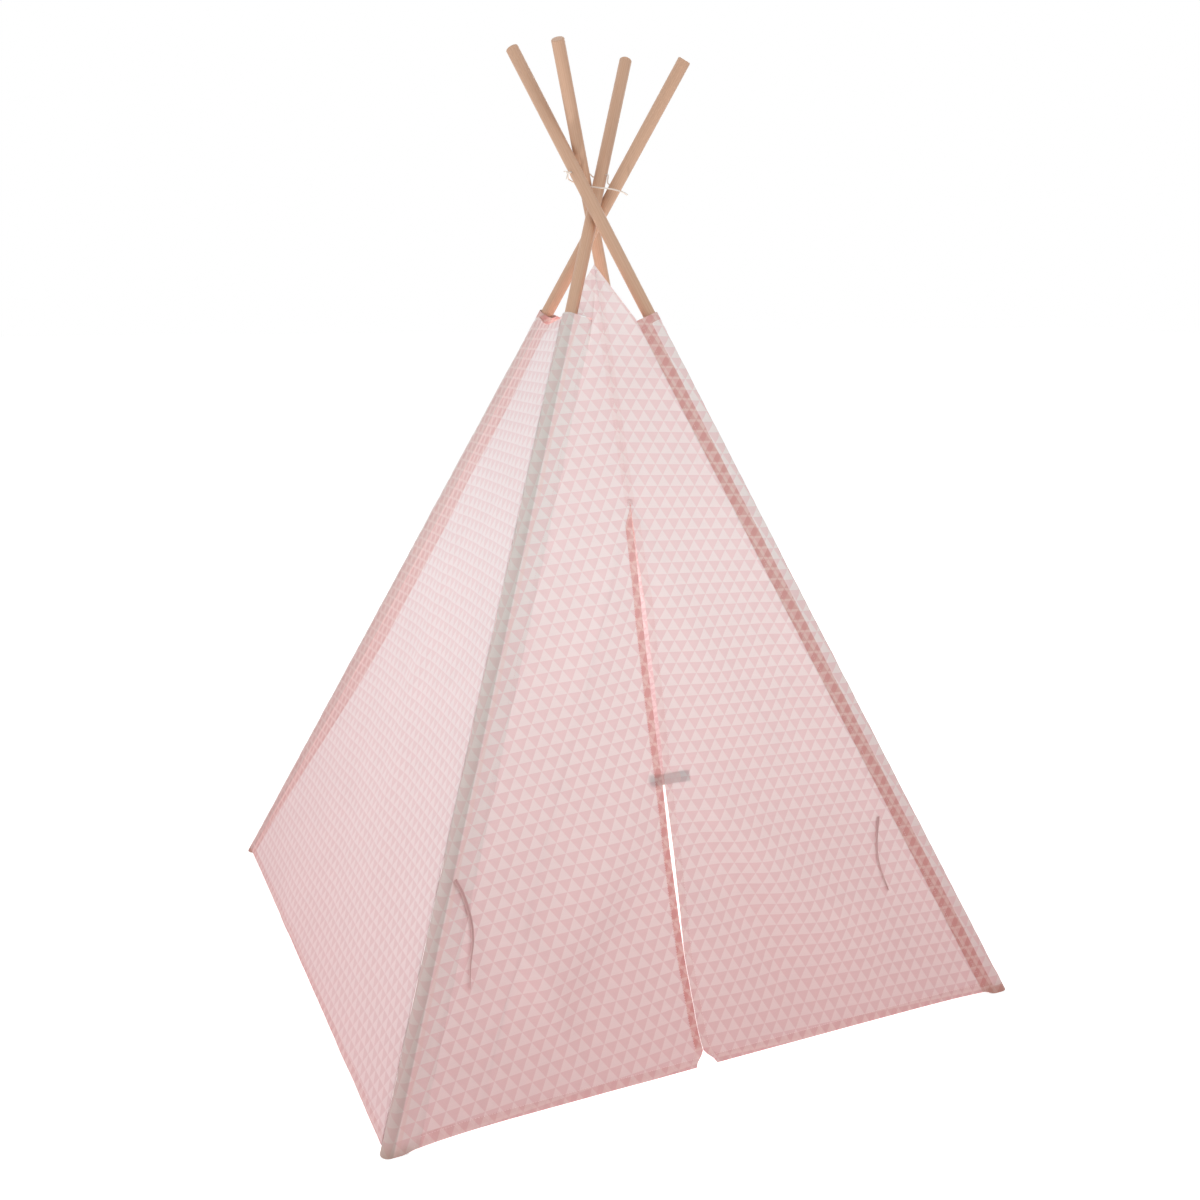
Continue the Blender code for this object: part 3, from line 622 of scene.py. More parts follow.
wallSleeves = {
    "left_wall": ("back_left", "front_left", tunnelEdge, Vector((-1, 0, 0))),
    "right_wall": ("front_right", "back_right", tunnelEdge, Vector((1, 0, 0))),
    "back_wall": ("back_right", "back_left", pocketEdge, Vector((0, 1, 0))),
}
walls = {
    "flat": (1.08, 1.23),  # widest and highest as cut
    "columns": 112,
    "rows": 122,
    "thickness": 0.0008,
    "wrinkle": 0.0013,
    "wrinkleSpread": 2.5,
    # strength of the painted shade on the doubled hem and edges
    "layers": 0.3,
    "facing": 1.4,  # how much faster the sewn side edges fade than the hem
    "facingStart": 0.004,
    # the painted shade strip along the back poles, drawn as doubled cloth and pole shadow, where
    # the pocket behind holds back light: where it lies, its width, rise and strength
    "backAt": {"left_wall": 0, "right_wall": 1},
    "band": (0.040, 0.095),
    "bandRise": 0.5,
    "bandLayers": 0.6,
    "bandBeyond": 0.01,
    "poleShare": 0.45,  # part of the strip that the pole darkens
    "poleShade": 0.5,
    # start and end as shares of width and height, half width, and height in fold depths
    "left_wall": [
        ((0.10, 0.95), (0.80, 0.05), 0.05, 0.8),
        ((0.05, 0.60), (0.60, 0.02), 0.04, -0.5),
        ((0.95, 0.97), (0.30, 0.30), 0.035, 0.45),
        ((0.98, 0.80), (0.45, 0.04), 0.03, -0.35),
        ((0.02, 0.16), (0.40, 0.03), 0.025, 0.4),
    ],
    "right_wall": [
        ((0.85, 0.90), (0.25, 0.10), 0.05, 0.7),
        ((0.10, 0.92), (0.70, 0.22), 0.035, 0.45),
        ((0.03, 0.45), (0.35, 0.03), 0.03, -0.4),
        ((0.97, 0.20), (0.62, 0.03), 0.025, 0.4),
    ],
    "back_wall": [
        ((0.15, 0.05), (0.55, 0.80), 0.05, 0.6),
        ((0.85, 0.05), (0.50, 0.55), 0.05, -0.5),
        ((0.90, 0.95), (0.30, 0.35), 0.035, 0.4),
        ((0.04, 0.30), (0.38, 0.03), 0.03, 0.35),
    ],
    "tilt": {"left_wall": 1.5, "right_wall": -2.0, "back_wall": 1.0},
}


def crease(share, rise, line):
    # height of one soft fold at a place, 1 along its middle
    (x0, y0), (x1, y1), halfWidth, height = line
    runX, runY = x1 - x0, y1 - y0
    length = math.hypot(runX, runY)
    along = ((share - x0) * runX + (rise - y0) * runY) / length**2
    off = ((share - x0) * runY - (rise - y0) * runX) / length
    ends = smoothStep(along * 4) * smoothStep((1 - along) * 4)
    return height * ends * math.exp(-((off / halfWidth) ** 2))


waves = {"coarse": (9, 9, 3.4), "fine": (21, 21, 8), "fineShare": 0.45}


def wrinkles(place, depth):
    # small uneven waves of cloth that hangs, longer up and down than across
    coarse, fine = (
        noise.noise(Vector([part * rate for part, rate in zip(place, waves[kind])]))
        for kind in ("coarse", "fine")
    )
    return depth * (coarse + waves["fineShare"] * fine)


def wallPlace(name, share, rise):
    first, last, edge, out = wallSleeves[name]
    dip = size["topDip"] * (1 - abs(2 * share - 1))
    height = size["hem"] + rise * (size["wallTop"] - dip - size["hem"])
    spread = 4 * share * (1 - share)
    level = (height - size["hem"]) / (size["sleeveTop"] - size["hem"])
    sag = size["wallSag"] * spread * math.sin(math.pi * smoothStep(level))
    folds = sum(crease(share, rise, line) for line in walls[name])
    start, end = edge(first, height), edge(last, height)
    place = start.lerp(end, share)
    rough = wrinkles(place, walls["wrinkle"]) * min(1.0, spread * walls["wrinkleSpread"])
    return place + out * (size["foldDepth"] * folds * spread - sag + rough)


def hemmedRows(count, top):
    # rows up a cloth, in shares of its height, set close where the hem is stitched
    stitched = size["hemHeight"] / (top - size["hem"])
    fine = [0.0, *(stitched * part for part in (0.5, 0.88, 1, 1.12, 1.6))]
    rest = np.linspace(stitched * 2.4, 1.0 - stitched * 1.05, count - len(fine) - 2)
    return [*fine, *rest, 1.0 - stitched * 0.5, 1.0]


def planTurned(across, up, tilt):
    turn = math.radians(tilt)
    c, s = math.cos(turn), math.sin(turn)
    return across * c + up * s, -across * s + up * c


def bandWidth(height):
    # painted shade strip of the side walls along the back poles, drawn as doubled cloth, narrower
    # near the floor
    low, high = walls["band"]
    return low + (high - low) * smoothStep(height / walls["bandRise"])


def clothGrid(rows, columns, count):
    # places and plan of a cloth, and empty grids for its marks
    return [np.zeros((rows, columns, parts)) for parts in (3, 2)] + [
        np.zeros((rows, columns)) for _ in range(count)
    ]


def addWall(name):
    first, last, edge, out = wallSleeves[name]
    rows = hemmedRows(walls["rows"], size["wallTop"])
    shares = np.linspace(0, 1, walls["columns"])
    outer, plan, near, pole, layers = clothGrid(len(rows), len(shares), 3)
    level = Vector((-out.y, out.x, 0))
    slope = math.hypot(1.0, size["baseHalfWidth"] / size["crossingHeight"])
    for i, rise in enumerate(rows):
        for j, share in enumerate(shares):
            place = wallPlace(name, share, rise)
            outer[i, j] = place
            start, end = edge(first, place.z), edge(last, place.z)
            width = (end - start).length
            plan[i, j] = planTurned(place.dot(level), place.z * slope, walls["tilt"][name])
            close = min(rise, 1 - rise) * (size["wallTop"] - size["hem"]) * slope
            layers[i, j] = walls["layers"]
            if name in walls["backAt"]:
                fromBack = abs(share - walls["backAt"][name]) * width
                band = bandWidth(place.z)
                sideways = fromBack - band + cotton["doubledWidth"]
                pole[i, j] = band * walls["poleShare"] - fromBack
                if fromBack < band + walls["bandBeyond"]:
                    layers[i, j] = walls["bandLayers"]
            else:
                sideways = min(share, 1 - share) * width * walls["facing"] + walls["facingStart"]
                pole[i, j] = -1.0
            near[i, j] = min(close, sideways)
    marks = {"edge": near, "layers": layers, "pole": pole}
    marks["dim"] = np.full_like(near, walls["poleShade"])
    made = shell(name + "_cloth", outer, plan, marks, walls["thickness"], out, wallCloth)
    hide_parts(name)
    return made


wallCloths = {name: addWall(name) for name in wallSleeves}
print("plain walls made")

# Strap and patch behind the slit
closure = {
    "height": 0.433,
    "length": 0.059,
    "width": 0.018,
    "reach": 0.0105,
    "thickness": 0.0012,
    "gap": 0.0005,
    "patch": 0.020,
    "columns": 22,
    "rows": 9,
    # the strap's painted shadow on the flap is a little smaller than the strap
    "seenStart": 0.002,
    "seenEnd": 0.016,
    "seenRim": 0.001,
}

# Shares of the slit's height, with how far it bends sideways and how far it gapes there
slitBends = [
    (0.00, -0.008), (0.06, -0.015), (0.19, -0.020), (0.52, -0.012), (0.82, -0.003), (1.00, 0.000),
]
slitGapShares = [
    (0.00, 0.00), (0.20, 0.03), (0.28, 0.45), (0.38, 0.80), (0.50, 0.45),
    (0.56, 0.80), (0.66, 1.00), (0.80, 1.00), (0.92, 0.25), (1.00, 0.00),
]
front = {
    "columns": 72,
    "rows": 128,
    "flapColumns": 84,
    "flapRows": 118,
    "thickness": 0.0008,
    "wrinkle": 0.0013,
    "foldRise": 2.3,
    "tilt": {"left": 4.0, "right": -2.6},
    "facing": 0.0135,
    # strength of the painted shade on doubled cloth: hem, seam and each flap's facing
    "layers": 0.3,
    "seamLayers": 0.15,
    "facingLayers": {"left": 0.8, "right": 0.2},
    "gussetInset": 0.007,
    "gussetTop": 1.214,
    "gussetRows": 12,
    "hemDrop": {-1: 0.006, 1: 0.003},  # the hem comes down towards the feet
    "dropReach": 0.06,
    "dropHeight": 0.12,
    # width in which the folds die out, and the share of them that is left at the line itself
    "heldAt": {
        "sleeve": (0.07, 0.0),
        "seam": (0.03, 0.25),
        "slit": (0.045, 0.2),
        "hem": (0.12, 0.35),
    },
    "breakRise": 0.70,
    "seamHalf": 0.0002,
    "mouthLift": 0.0004,
    "flapTopGap": 0.001,
    "flapLeast": 0.0004,
    "edgeColumns": 8,
    "edgeStart": (0.9, 0.912),
    "hemFade": (0.03, 0.01),
    "seamFade": (1.5, 0.0005),
    "topFade": 1.2,
    "out": (0, -1, 0.3),
    # start and end in metres across and up the front, half width, and height
    "creases": [
        ((-0.060, 0.430), (-0.330, 0.135), 0.050, 0.0050),
        ((-0.085, 0.290), (-0.300, 0.045), 0.040, -0.0035),
        ((-0.020, 0.430), (0.300, 0.100), 0.045, 0.0055),
        ((-0.020, 0.400), (0.170, 0.035), 0.040, -0.0040),
        ((-0.030, 0.770), (0.110, 0.530), 0.040, 0.0030),
        ((-0.060, 0.780), (-0.190, 0.520), 0.035, 0.0022),
        ((-0.340, 0.300), (-0.240, 0.020), 0.025, 0.0020),
        ((0.360, 0.280), (0.250, 0.020), 0.025, 0.0020),
        ((0.150, 0.760), (0.250, 0.420), 0.025, -0.0020),
    ],
}


def sleeveDepth(height):
    return (pocketEdge("front_left", height).y + pocketEdge("front_right", height).y) / 2


doorDepths = {size[level]: sleeveDepth(size[level]) for level in ("hem", "slitTop", "peak")}


def doorDepth(height):
    end = size["hem"] if height <= size["slitTop"] else size["peak"]
    depth, top = doorDepths[end], doorDepths[size["slitTop"]]
    return depth + (top - depth) * (height - end) / (size["slitTop"] - end)


def seamLine(height):
    share = (height - size["slitTop"]) / (size["peak"] - size["slitTop"])
    return size["slitTopOffset"] + (size["peakOffset"] - size["slitTopOffset"]) * share


def slitShare(height):
    return (height - size["hem"]) / (size["slitTop"] - size["hem"])


def slitLine(height):
    return size["slitTopOffset"] + alongList(slitBends, slitShare(height))


def slitOpening(height):
    notch = size["notchWidth"] * (1 - smoothStep((height - size["hem"]) / size["notchHeight"]))
    spread = size["slitGapMost"] - size["slitGapLeast"]
    return size["slitGapLeast"] + spread * alongList(slitGapShares, slitShare(height)) + notch


foldCorner = {
    side: pocketEdge(name, size["hem"]).x - side * size["foldInset"]
    for side, name in ((-1, "front_left"), (1, "front_right"))
}


def foldLine(side, height):
    return foldCorner[side] + (size["slitTopOffset"] - foldCorner[side]) * slitShare(height)


def frontFace(x, height):
    # outer face of the front wall, flat between its two fold lines
    depth = inner = doorDepth(height)
    for side, name in ((-1, "front_left"), (1, "front_right")):
        line = foldLine(side, height)
        if (x - line) * side > 0:
            outer = pocketEdge(name, height)
            depth += (outer.y - inner) * min(1.0, (x - line) / (outer.x - line))
    return Vector((x, depth, height))


def frontRelief(place):
    folds = front["foldRise"] * sum(crease(place.x, place.z, line) for line in front["creases"])
    return folds + wrinkles(place, front["wrinkle"])


def heldBy(kind, distance):
    reach, left = front["heldAt"][kind]
    return smoothStep(distance / reach + left)


def raised(place, side):
    # the face with its folds, which die out at the sleeves, the hem corners and the seam
    name = "front_left" if side < 0 else "front_right"
    outer = abs(place.x - pocketEdge(name, place.z).x)
    held = heldBy("sleeve", outer)
    if place.z > size["slitTop"]:
        held *= heldBy("seam", abs(place.x - seamLine(place.z)))
    else:
        held *= heldBy("slit", abs(place.x - slitLine(place.z)))
    reach, left = front["heldAt"]["hem"]
    low = min(1.0, left + place.z / reach)
    drop = front["hemDrop"][side] * math.exp(-outer / front["dropReach"])
    drop *= max(0.0, 1 - (place.z - size["hem"]) / front["dropHeight"])
    way = axis[name] * (drop / axis[name].z)
    return place - Vector((0, frontRelief(place) * held * low, 0)) - way


def panelPlace(side, inward, rise):
    sleeve = "front_left" if side < 0 else "front_right"
    height = size["hem"] + rise * (size["wallTop"] - size["hem"])
    outer = pocketEdge(sleeve, height)
    breakRise = front["breakRise"]
    if rise <= breakRise:
        low = size["hem"] + rise / breakRise * (size["slitTop"] - size["hem"])
        inner = foldLine(side, low)
    else:
        up = (rise - breakRise) / (1 - breakRise)
        low = size["slitTop"] + (size["peak"] - size["slitTop"]) * up
        inner = seamLine(low) + side * front["seamHalf"]
    return raised(outer.lerp(Vector((inner, doorDepth(low), low)), inward), side)


doorLean = (doorDepths[size["slitTop"]] - doorDepths[size["hem"]]) / size["slitTop"]
frontSlope = math.hypot(1.0, doorLean)


def frontPlan(side, place):
    label = "left" if side < 0 else "right"
    return planTurned(place.x - size["slitTopOffset"], place.z * frontSlope, front["tilt"][label])


def gussetPlace(across, share):
    # cloth above the left sleeve's mouth, from the panel's top edge to the flank of the pole
    inward, outward = pocketFrame("front_left")
    side = inward * front["gussetInset"] + outward * size["sleeveRadius"]
    reach = size["sleeveTop"] / axis["front_left"].z + front["mouthLift"]
    mouth = foot["front_left"] + side + axis["front_left"] * reach
    flank = carried("front_left", side, front["gussetTop"])
    peakX = seamLine(size["peak"]) - front["seamHalf"]
    peak = Vector((peakX, doorDepth(size["peak"]), size["peak"]))
    low = pocketEdge("front_left", size["wallTop"]).lerp(mouth, across)
    high = peak.lerp(flank, across)
    return raised(low.lerp(high, share), -1), (high - low).length * (1 - share)


def seamFade(place):
    faster, start = front["seamFade"]
    return abs(place.x - seamLine(place.z)) * faster + start


def addPanel(side):
    label = "left" if side < 0 else "right"
    rows = hemmedRows(front["rows"], size["wallTop"])
    shares = np.linspace(0, 1, front["columns"])
    extra = np.linspace(0, 1, front["gussetRows"] + 1)[1:] if side < 0 else []
    outer, plan, near = clothGrid(len(rows) + len(extra), len(shares), 1)
    for j, share in enumerate(shares):
        for i, rise in enumerate(rows):
            place = panelPlace(side, share, rise)
            outer[i, j] = place
            ends = [(place.z - size["hem"]) * frontSlope]
            if side > 0:
                ends.append((1 - rise) * front["topFade"])
            if place.z > size["slitTop"]:
                ends.append(seamFade(place))
            near[i, j] = min(ends)
        for i, across in enumerate(extra, len(rows)):
            place, left = gussetPlace(across, share)
            outer[i, j] = place
            near[i, j] = min(left, seamFade(place))
    for i, j in np.ndindex(near.shape):
        plan[i, j] = frontPlan(side, Vector(outer[i, j]))
    high = outer[:, :, 2] > size["slitTop"] - 0.002
    marks = {"edge": near, "layers": np.where(high, front["seamLayers"], front["layers"])}
    name = f"front_{label}_panel"
    made = shell(name + "_cloth", outer, plan, marks, front["thickness"], front["out"], cottonCloth)
    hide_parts(name)
    return made


def slitEdge(side, height):
    return slitLine(height) + side * slitOpening(height) / 2


def flapPlace(side, inward, rise):
    height = size["hem"] + rise * (size["slitTop"] - front["flapTopGap"] - size["hem"])
    hinge, edge = foldLine(side, height), slitEdge(side, height)
    if (hinge - edge) * side < front["flapLeast"]:
        edge = hinge - side * front["flapLeast"]
    x = hinge + (edge - hinge) * inward
    return raised(frontFace(x, height), side)


def strapShadowField(place):
    # how far inside the painted shadow of the closure, the strap seen faintly through the cloth
    across = place.x - slitLine(closure["height"])
    end = closure["length"] - closure["reach"] - closure["seenEnd"]
    reach = min(across - closure["seenStart"], end - across)
    rim = closure["width"] / 2 - closure["seenRim"]
    return min(reach, rim - abs(place.z - closure["height"]))


def addFlap(side):
    label = "left" if side < 0 else "right"
    rows = hemmedRows(front["flapRows"], size["slitTop"])
    (last, first), fine = front["edgeStart"], front["edgeColumns"]
    shares = [*np.linspace(0, last, front["flapColumns"] - fine), *np.linspace(first, 1.0, fine)]
    outer, plan, near, layers, strap = clothGrid(len(rows), len(shares), 3)
    fadeFrom, fade = front["hemFade"]
    for i, rise in enumerate(rows):
        for j, share in enumerate(shares):
            place = flapPlace(side, share, rise)
            outer[i, j] = place
            plan[i, j] = frontPlan(side, place)
            low = (place.z - size["hem"]) * frontSlope
            slit = abs(place.x - slitEdge(side, place.z)) * size["hemHeight"] / front["facing"]
            near[i, j] = min(low, slit)
            hemmed = smoothStep((fadeFrom - low) / fade)
            layers[i, j] = front["facingLayers"][label] * (1 - hemmed) + front["layers"] * hemmed
            strap[i, j] = strapShadowField(place)
    marks = {"edge": near, "layers": layers, "strap": strap}
    name = f"{label}_door_flap"
    made = shell(name + "_cloth", outer, plan, marks, front["thickness"], front["out"], cottonCloth)
    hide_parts(name)
    return made


panels = {side: addPanel(side) for side in (-1, 1)}
flaps = {side: addFlap(side) for side in (-1, 1)}
print("front wall made")

sleeve = {
    "rings": 170,
    "front": 14,
    "round": 40,
    "back": 10,
    "pucker": 0.0007,
    "mouthHem": 0.016,
    "soilHeight": 0.022,
    # where the painted shade of each pocket's two layers begins, and how strong it is
    "pocket": {
        "front_left": (0.030, 0.0),
        "front_right": (0.011, 0.85),
        "back_left": (0.011, 0.8),
        "back_right": (0.011, 0.8),
    },
    "poleShade": {"front_left": 0.85, "front_right": 0.12, "back_left": 0.45, "back_right": 0.2},
    "poleReach": {
        "front_left": 0.003,
        "front_right": 0.0098,
        "back_left": 0.0098,
        "back_right": 0.0098,
    },
    # uneven cloth round the pole: waves across and along it, in turns per metre
    "waves": (60, 26),
    "fineWaves": (130, 75),
    "fineShare": 0.6,
    "waveLess": 0.35,
    "easeRings": 3,
    # slanting puckers and a soft roll beside the seam
    "slants": (42, 70, 5),
    "slantShare": 1.1,
    "rollAt": 0.006,
    "rollWidth": 0.0035,
    "rollShare": 0.8,
    "inMost": 0.0005,  # less than the cloth is thick, so that the outer face stays outside
    "footStart": 0.002,
    "footRise": 0.022,
    "footFade": 1.1,
    "soilShare": 0.7,
    "flatSeam": 0.002,
    "flatHem": 0.004,
}


def sleeveRing():
    # outline square to the pole: places along the wall and out of it, inner partner, plan across
    radius, inner = size["sleeveRadius"], size["sleeveInnerRadius"]
    throat = (size["pocketReach"] - size["pocketSeam"], radius - 2 * size["cloth"])
    reach = math.hypot(*throat)
    touch = math.atan2(throat[1], throat[0]) - math.acos(radius / reach) + 2 * math.pi
    tail = size["pocketReach"]
    sharp = (inner - inner * math.sin(touch)) / math.cos(touch)
    ring = []
    for step in range(sleeve["front"]):
        share = step / sleeve["front"]
        along = tail * (1 - share)
        ring.append((along, radius, min(along, sharp), inner))
    for step in range(sleeve["round"] + 1):
        turn = math.pi / 2 + (touch - math.pi / 2) * step / sleeve["round"]
        c, s = math.cos(turn), math.sin(turn)
        ring.append((radius * c, radius * s, inner * c, inner * s))
    last, throatPair = np.array(ring[-1]), np.array((*throat, sharp, inner))
    for step in range(1, sleeve["back"] + 1):
        ring.append(tuple((last + (throatPair - last) * (step / sleeve["back"])).tolist()))
    for share in (0.5, 1.0):
        along = throat[0] + (tail - throat[0]) * share
        ring.append((along, throat[1], sharp, inner))
    return ring


def addSleeve(name):
    ring = sleeveRing()
    inward, outward = pocketFrame(name)
    count, rings = len(ring), sleeve["rings"]
    x, y = corners[name]
    lengths = [0.0]
    for before, after in zip(ring, ring[1:]):
        lengths.append(lengths[-1] + math.hypot(after[0] - before[0], after[1] - before[1]))
    points, plan, near, pole, soil = [], [], [], [], []
    label = "left" if x < 0 else "right"
    tilt = front["tilt"][label] if y < 0 else walls["tilt"]["back_wall"]
    doubledFrom, layers = sleeve["pocket"][name]
    hemLift = size["hem"] - front["hemDrop"][x] if y < 0 else size["hem"]
    pocket = size["pocketReach"]

    def relief(a, b, length, reach):
        # which way and how far the outer face stands off, and how freely
        wave = 0.0
        for strength, kind, turn in (
            (1.0, "waves", x * 3 + y * 7),
            (sleeve["fineShare"], "fineWaves", x * 5 + y),
        ):
            across, up = sleeve[kind]
            wave += strength * noise.noise(Vector((length * across, reach * up, turn)))
        lift = wave - sleeve["waveLess"]
        if b < size["sleeveRadius"] - 1e-6 or a <= 0:
            return (inward * a + outward * b).normalized(), lift, 1.0
        rate, lean, slow = sleeve["slants"]
        slant = noise.noise(Vector((reach * rate + a * lean, reach * slow, x * 11 + y)))
        roll = math.exp(-(((pocket - sleeve["rollAt"] - a) / sleeve["rollWidth"]) ** 2))
        lift += slant * layers * sleeve["slantShare"] + roll * sleeve["rollShare"]
        return outward, lift, smoothStep((pocket - a) / sleeve["rollAt"])

    for layer in (0, 1):
        for step in range(rings + 1):
            share = step / rings
            for index, (a, b, c, d) in enumerate(ring):
                along, out = (a, b) if layer == 0 else (c, d)
                side = inward * along + outward * out
                # square to the pole at the mouth, level at the floor under the pole
                floor = size["cloth"] if layer else 0.0
                fromPole = along - size["poleRadius"] - sleeve["footStart"]
                floor += hemLift * smoothStep(fromPole / sleeve["footRise"])
                low = (floor - side.z) / axis[name].z
                high = size["sleeveTop"] / axis[name].z
                reach = low + (high - low) * share
                place = foot[name] + side + axis[name] * reach
                onRound = index <= sleeve["front"] + sleeve["round"]
                if layer == 0 and 0 < step < rings and onRound:
                    way, lift, ease = relief(a, b, lengths[index], reach)
                    ease *= min(1.0, *(end / sleeve["easeRings"] for end in (step, rings - step)))
                    place += way * max(-sleeve["inMost"], sleeve["pucker"] * ease * lift)
                points.append(place)
                across = pocketEdge(name, place.z).x + x * lengths[index] - size["slitTopOffset"]
                plan.append(planTurned(across, place.z * frontSlope, tilt))
                inPocket = cotton["doubledWidth"] - (a - doubledFrom)
                near.append(min(high - reach, place.z * sleeve["footFade"], inPocket))
                pole.append(sleeve["poleReach"][name] - a if onRound else -1.0)
                clean = place.z / sleeve["soilHeight"]
                soil.append(sleeve["soilShare"] * smoothStep(1 - clean))
    marks = {"edge": near, "pole": pole, "soil": soil}
    marks["layers"] = [layers] * len(points)
    marks["dim"] = [sleeve["poleShade"][name]] * len(points)
    faces = []
    total = (rings + 1) * count
    for step in range(rings):
        for index in range(count):
            after = (index + 1) % count
            p, q = step * count + index, step * count + after
            faces.append((p, q, q + count, p + count))
            faces.append((total + p, total + p + count, total + q + count, total + q))
    top = rings * count
    for index in range(count):
        after = (index + 1) % count
        faces.append((top + index, top + after, total + top + after, total + top + index))
    faces.append(tuple(reversed(range(count))))
    faces.append(tuple(range(total, total + count)))
    mesh = meshFrom(name + "_sleeve_cloth", points, faces, plan, marks, 60)
    # outward faces: the ring runs one way on the left and the other on the right
    mesh.calc_loop_triangles()
    volume = 0.0
    for triangle in mesh.loop_triangles:
        p, q, r = (mesh.vertices[vertex].co for vertex in triangle.vertices)
        volume += p.dot(q.cross(r))
    if volume < 0:
        mesh.flip_normals()
    made = linkObject(name + "_sleeve_cloth", mesh)
    made.data.materials.append(litSleeveCloth)
    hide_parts(name + "_sleeve")
    return made


sleeves = {name: addSleeve(name) for name in corners}
print("sleeves made")

tie = {
    "width": 0.006,
    "thickness": 0.0009,
    "lift": 0.0008,
    "turn": (20, 68),  # degrees on edge, at the top and at the end
    "step": 0.0035,
    "columns": 5,
    "press": 0.6,  # how far the tape sinks into the hollows of the cloth
    "left": {
        "sleeve": "front_left",
        "top": 0.343,
        "inset": 0.003,
        "route": [
            (0.000, 0.000), (0.008, 0.020), (0.013, 0.042), (0.016, 0.070),
            (0.014, 0.094), (0.006, 0.124), (0.000, 0.160),
        ],
    },
    "right": {
        "sleeve": "front_right",
        "top": 0.320,
        "inset": 0.064,
        "route": [
            (0.000, 0.000), (-0.011, 0.041), (-0.014, 0.067), (-0.012, 0.090), (-0.004, 0.124),
        ],
    },
}


def headingAt(before, here, after):
    back, ahead = (here - before).length, (after - here).length
    return ((here - before) * (ahead / back) + (after - here) * (back / ahead)) / (back + ahead)


def smoothRoute(points, step):
    # places about a step apart on a smooth curve through the points
    ends = [points[0] * 2 - points[1], *points, points[-1] * 2 - points[-2]]
    headings = [headingAt(*ends[index : index + 3]) for index in range(len(points))]
    dense = []
    for index in range(len(points) - 1):
        start, end = points[index], points[index + 1]
        span = (end - start).length
        for count in range(24):
            t = count / 24
            s = 1 - t
            dense.append(
                start * (s * s * (1 + 2 * t))
                + end * (t * t * (1 + 2 * s))
                + headings[index] * (span * s * s * t)
                - headings[index + 1] * (span * t * t * s)
            )
    dense.append(points[-1])
    lengths = [0.0]
    for start, end in zip(dense, dense[1:]):
        lengths.append(lengths[-1] + (end - start).length)
    count = max(2, round(lengths[-1] / step))
    places, cursor = [], 0
    for number in range(count + 1):
        target = lengths[-1] * number / count
        while cursor < len(dense) - 2 and lengths[cursor + 1] < target:
            cursor += 1
        span = lengths[cursor + 1] - lengths[cursor]
        places.append(dense[cursor].lerp(dense[cursor + 1], (target - lengths[cursor]) / span))
    return places


def neighbours(places, index):
    return places[min(index + 1, len(places) - 1)] - places[max(index - 1, 0)]


def addTie(label):
    part = tie[label]
    side = -1 if label == "left" else 1
    startX = onAxis(part["sleeve"], part["top"]).x - side * part["inset"]
    slope = (frontFace(0, part["top"]) - frontFace(0, 0)).length / part["top"]
    flat = [Vector((startX + x, part["top"] - down / slope, 0)) for x, down in part["route"]]
    places = smoothRoute(flat, tie["step"])
    width, columns = tie["width"], tie["columns"]
    grid, plan, near = clothGrid(len(places), columns, 1)
    first, last = tie["turn"]
    for i, here in enumerate(places):
        ahead = neighbours(places, i)
        level = Vector((-ahead.y, ahead.x, 0)).normalized()
        face = tieFace(part["sleeve"], side, here.x, here.y)
        turn = math.radians(first + (last - first) * i / (len(places) - 1))
        stand = tie["lift"] + tie["thickness"] + width / 2 * math.sin(turn)
        for j in range(columns):
            off = width * (0.5 - j / (columns - 1))
            out = stand - off * math.sin(turn)
            grid[i, j] = face + level * (off * math.cos(turn)) - Vector((0, out, 0))
            plan[i, j] = (off, i * tie["step"])
            near[i, j] = min(off + width / 2, width / 2 - off)
    name, marks = label + "_tie_tape", {"edge": near}
    made = shell(name, grid, plan, marks, tie["thickness"], (0, -1, 0), tieTape)
    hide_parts(label + "_tie")
    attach(made, part["sleeve"] + "_pole")
    return made


def tieFace(name, side, x, height):
    # the tape lies on the front panel, or flat across the sleeve beside it
    edge = pocketEdge(name, height)
    if (x - edge.x) * side > 0:
        return Vector((x, edge.y, height))
    face = frontFace(x, height)
    return face - Vector((0, max(0.0, frontRelief(face)) * tie["press"], 0))


for label in ("left", "right"):
    addTie(label)

lashing = {
    "diameter": 0.0025,
    "lead": 0.0030,
    "knotRadius": 0.0034,
    "knotGap": 0.0003,
    "twist": 0.0065,  # length of one turn of the three plies
    "plyDepth": 0.08,  # share of the radius
    "sides": 15,
    "step": 0.0015,
    "knotCord": 0.00105,
    "knotSides": 9,
    "knotSteps": 89,
    "knotShare": 3.6,  # reach of the trefoil's curve about its middle
    "endCord": 0.00115,
    "endTaper": 0.3,
    "endStart": 0.002,
    "endStep": 0.0011,
    "endDrop": 0.00004,
    "ends": ((-0.6, -0.35, -0.9), (-0.9, -0.2, 0.35)),
    "rises": {"front_right": 2.82, "back_right": 2.64, "front_left": 2.64, "back_left": 1.73},
    "headings": {"front_right": 20, "back_right": 60, "front_left": -60, "back_left": -20},
    "turn": (0.02, 1.48, 2.95),
    "return": [
        (2.23, -1.09, 1.18), (1.82, -1.55, 1.27), (0.91, -1.23, 1.55), (0.00, -0.91, 1.64),
        (-0.73, -0.59, 1.73), (-1.07, -0.02, 1.82), (-1.64, 0.18, 2.00), (-2.27, 0.05, 2.27),
    ],
    "knotEnd": (0.40, 0.90, 0.15),
}


def throughHole(name):
    poleWidth = 2 * size["poleRadius"]
    middle = onAxis(name, size["crossingHeight"] + lashing["rises"][name] * poleWidth)
    heading = math.radians(lashing["headings"][name])
    heading = acrossPole(name, Vector((math.cos(heading), math.sin(heading), 0)))
    reach = size["poleRadius"] + lashing["lead"]
    return [middle + heading * reach * share for share in (-1.0, -0.5, 0.0, 0.5, 1.0)]


def nearCrossing(shares):
    middle = Vector((0, -size["crossingForward"], size["crossingHeight"]))
    return middle + Vector(shares) * (2 * size["poleRadius"])


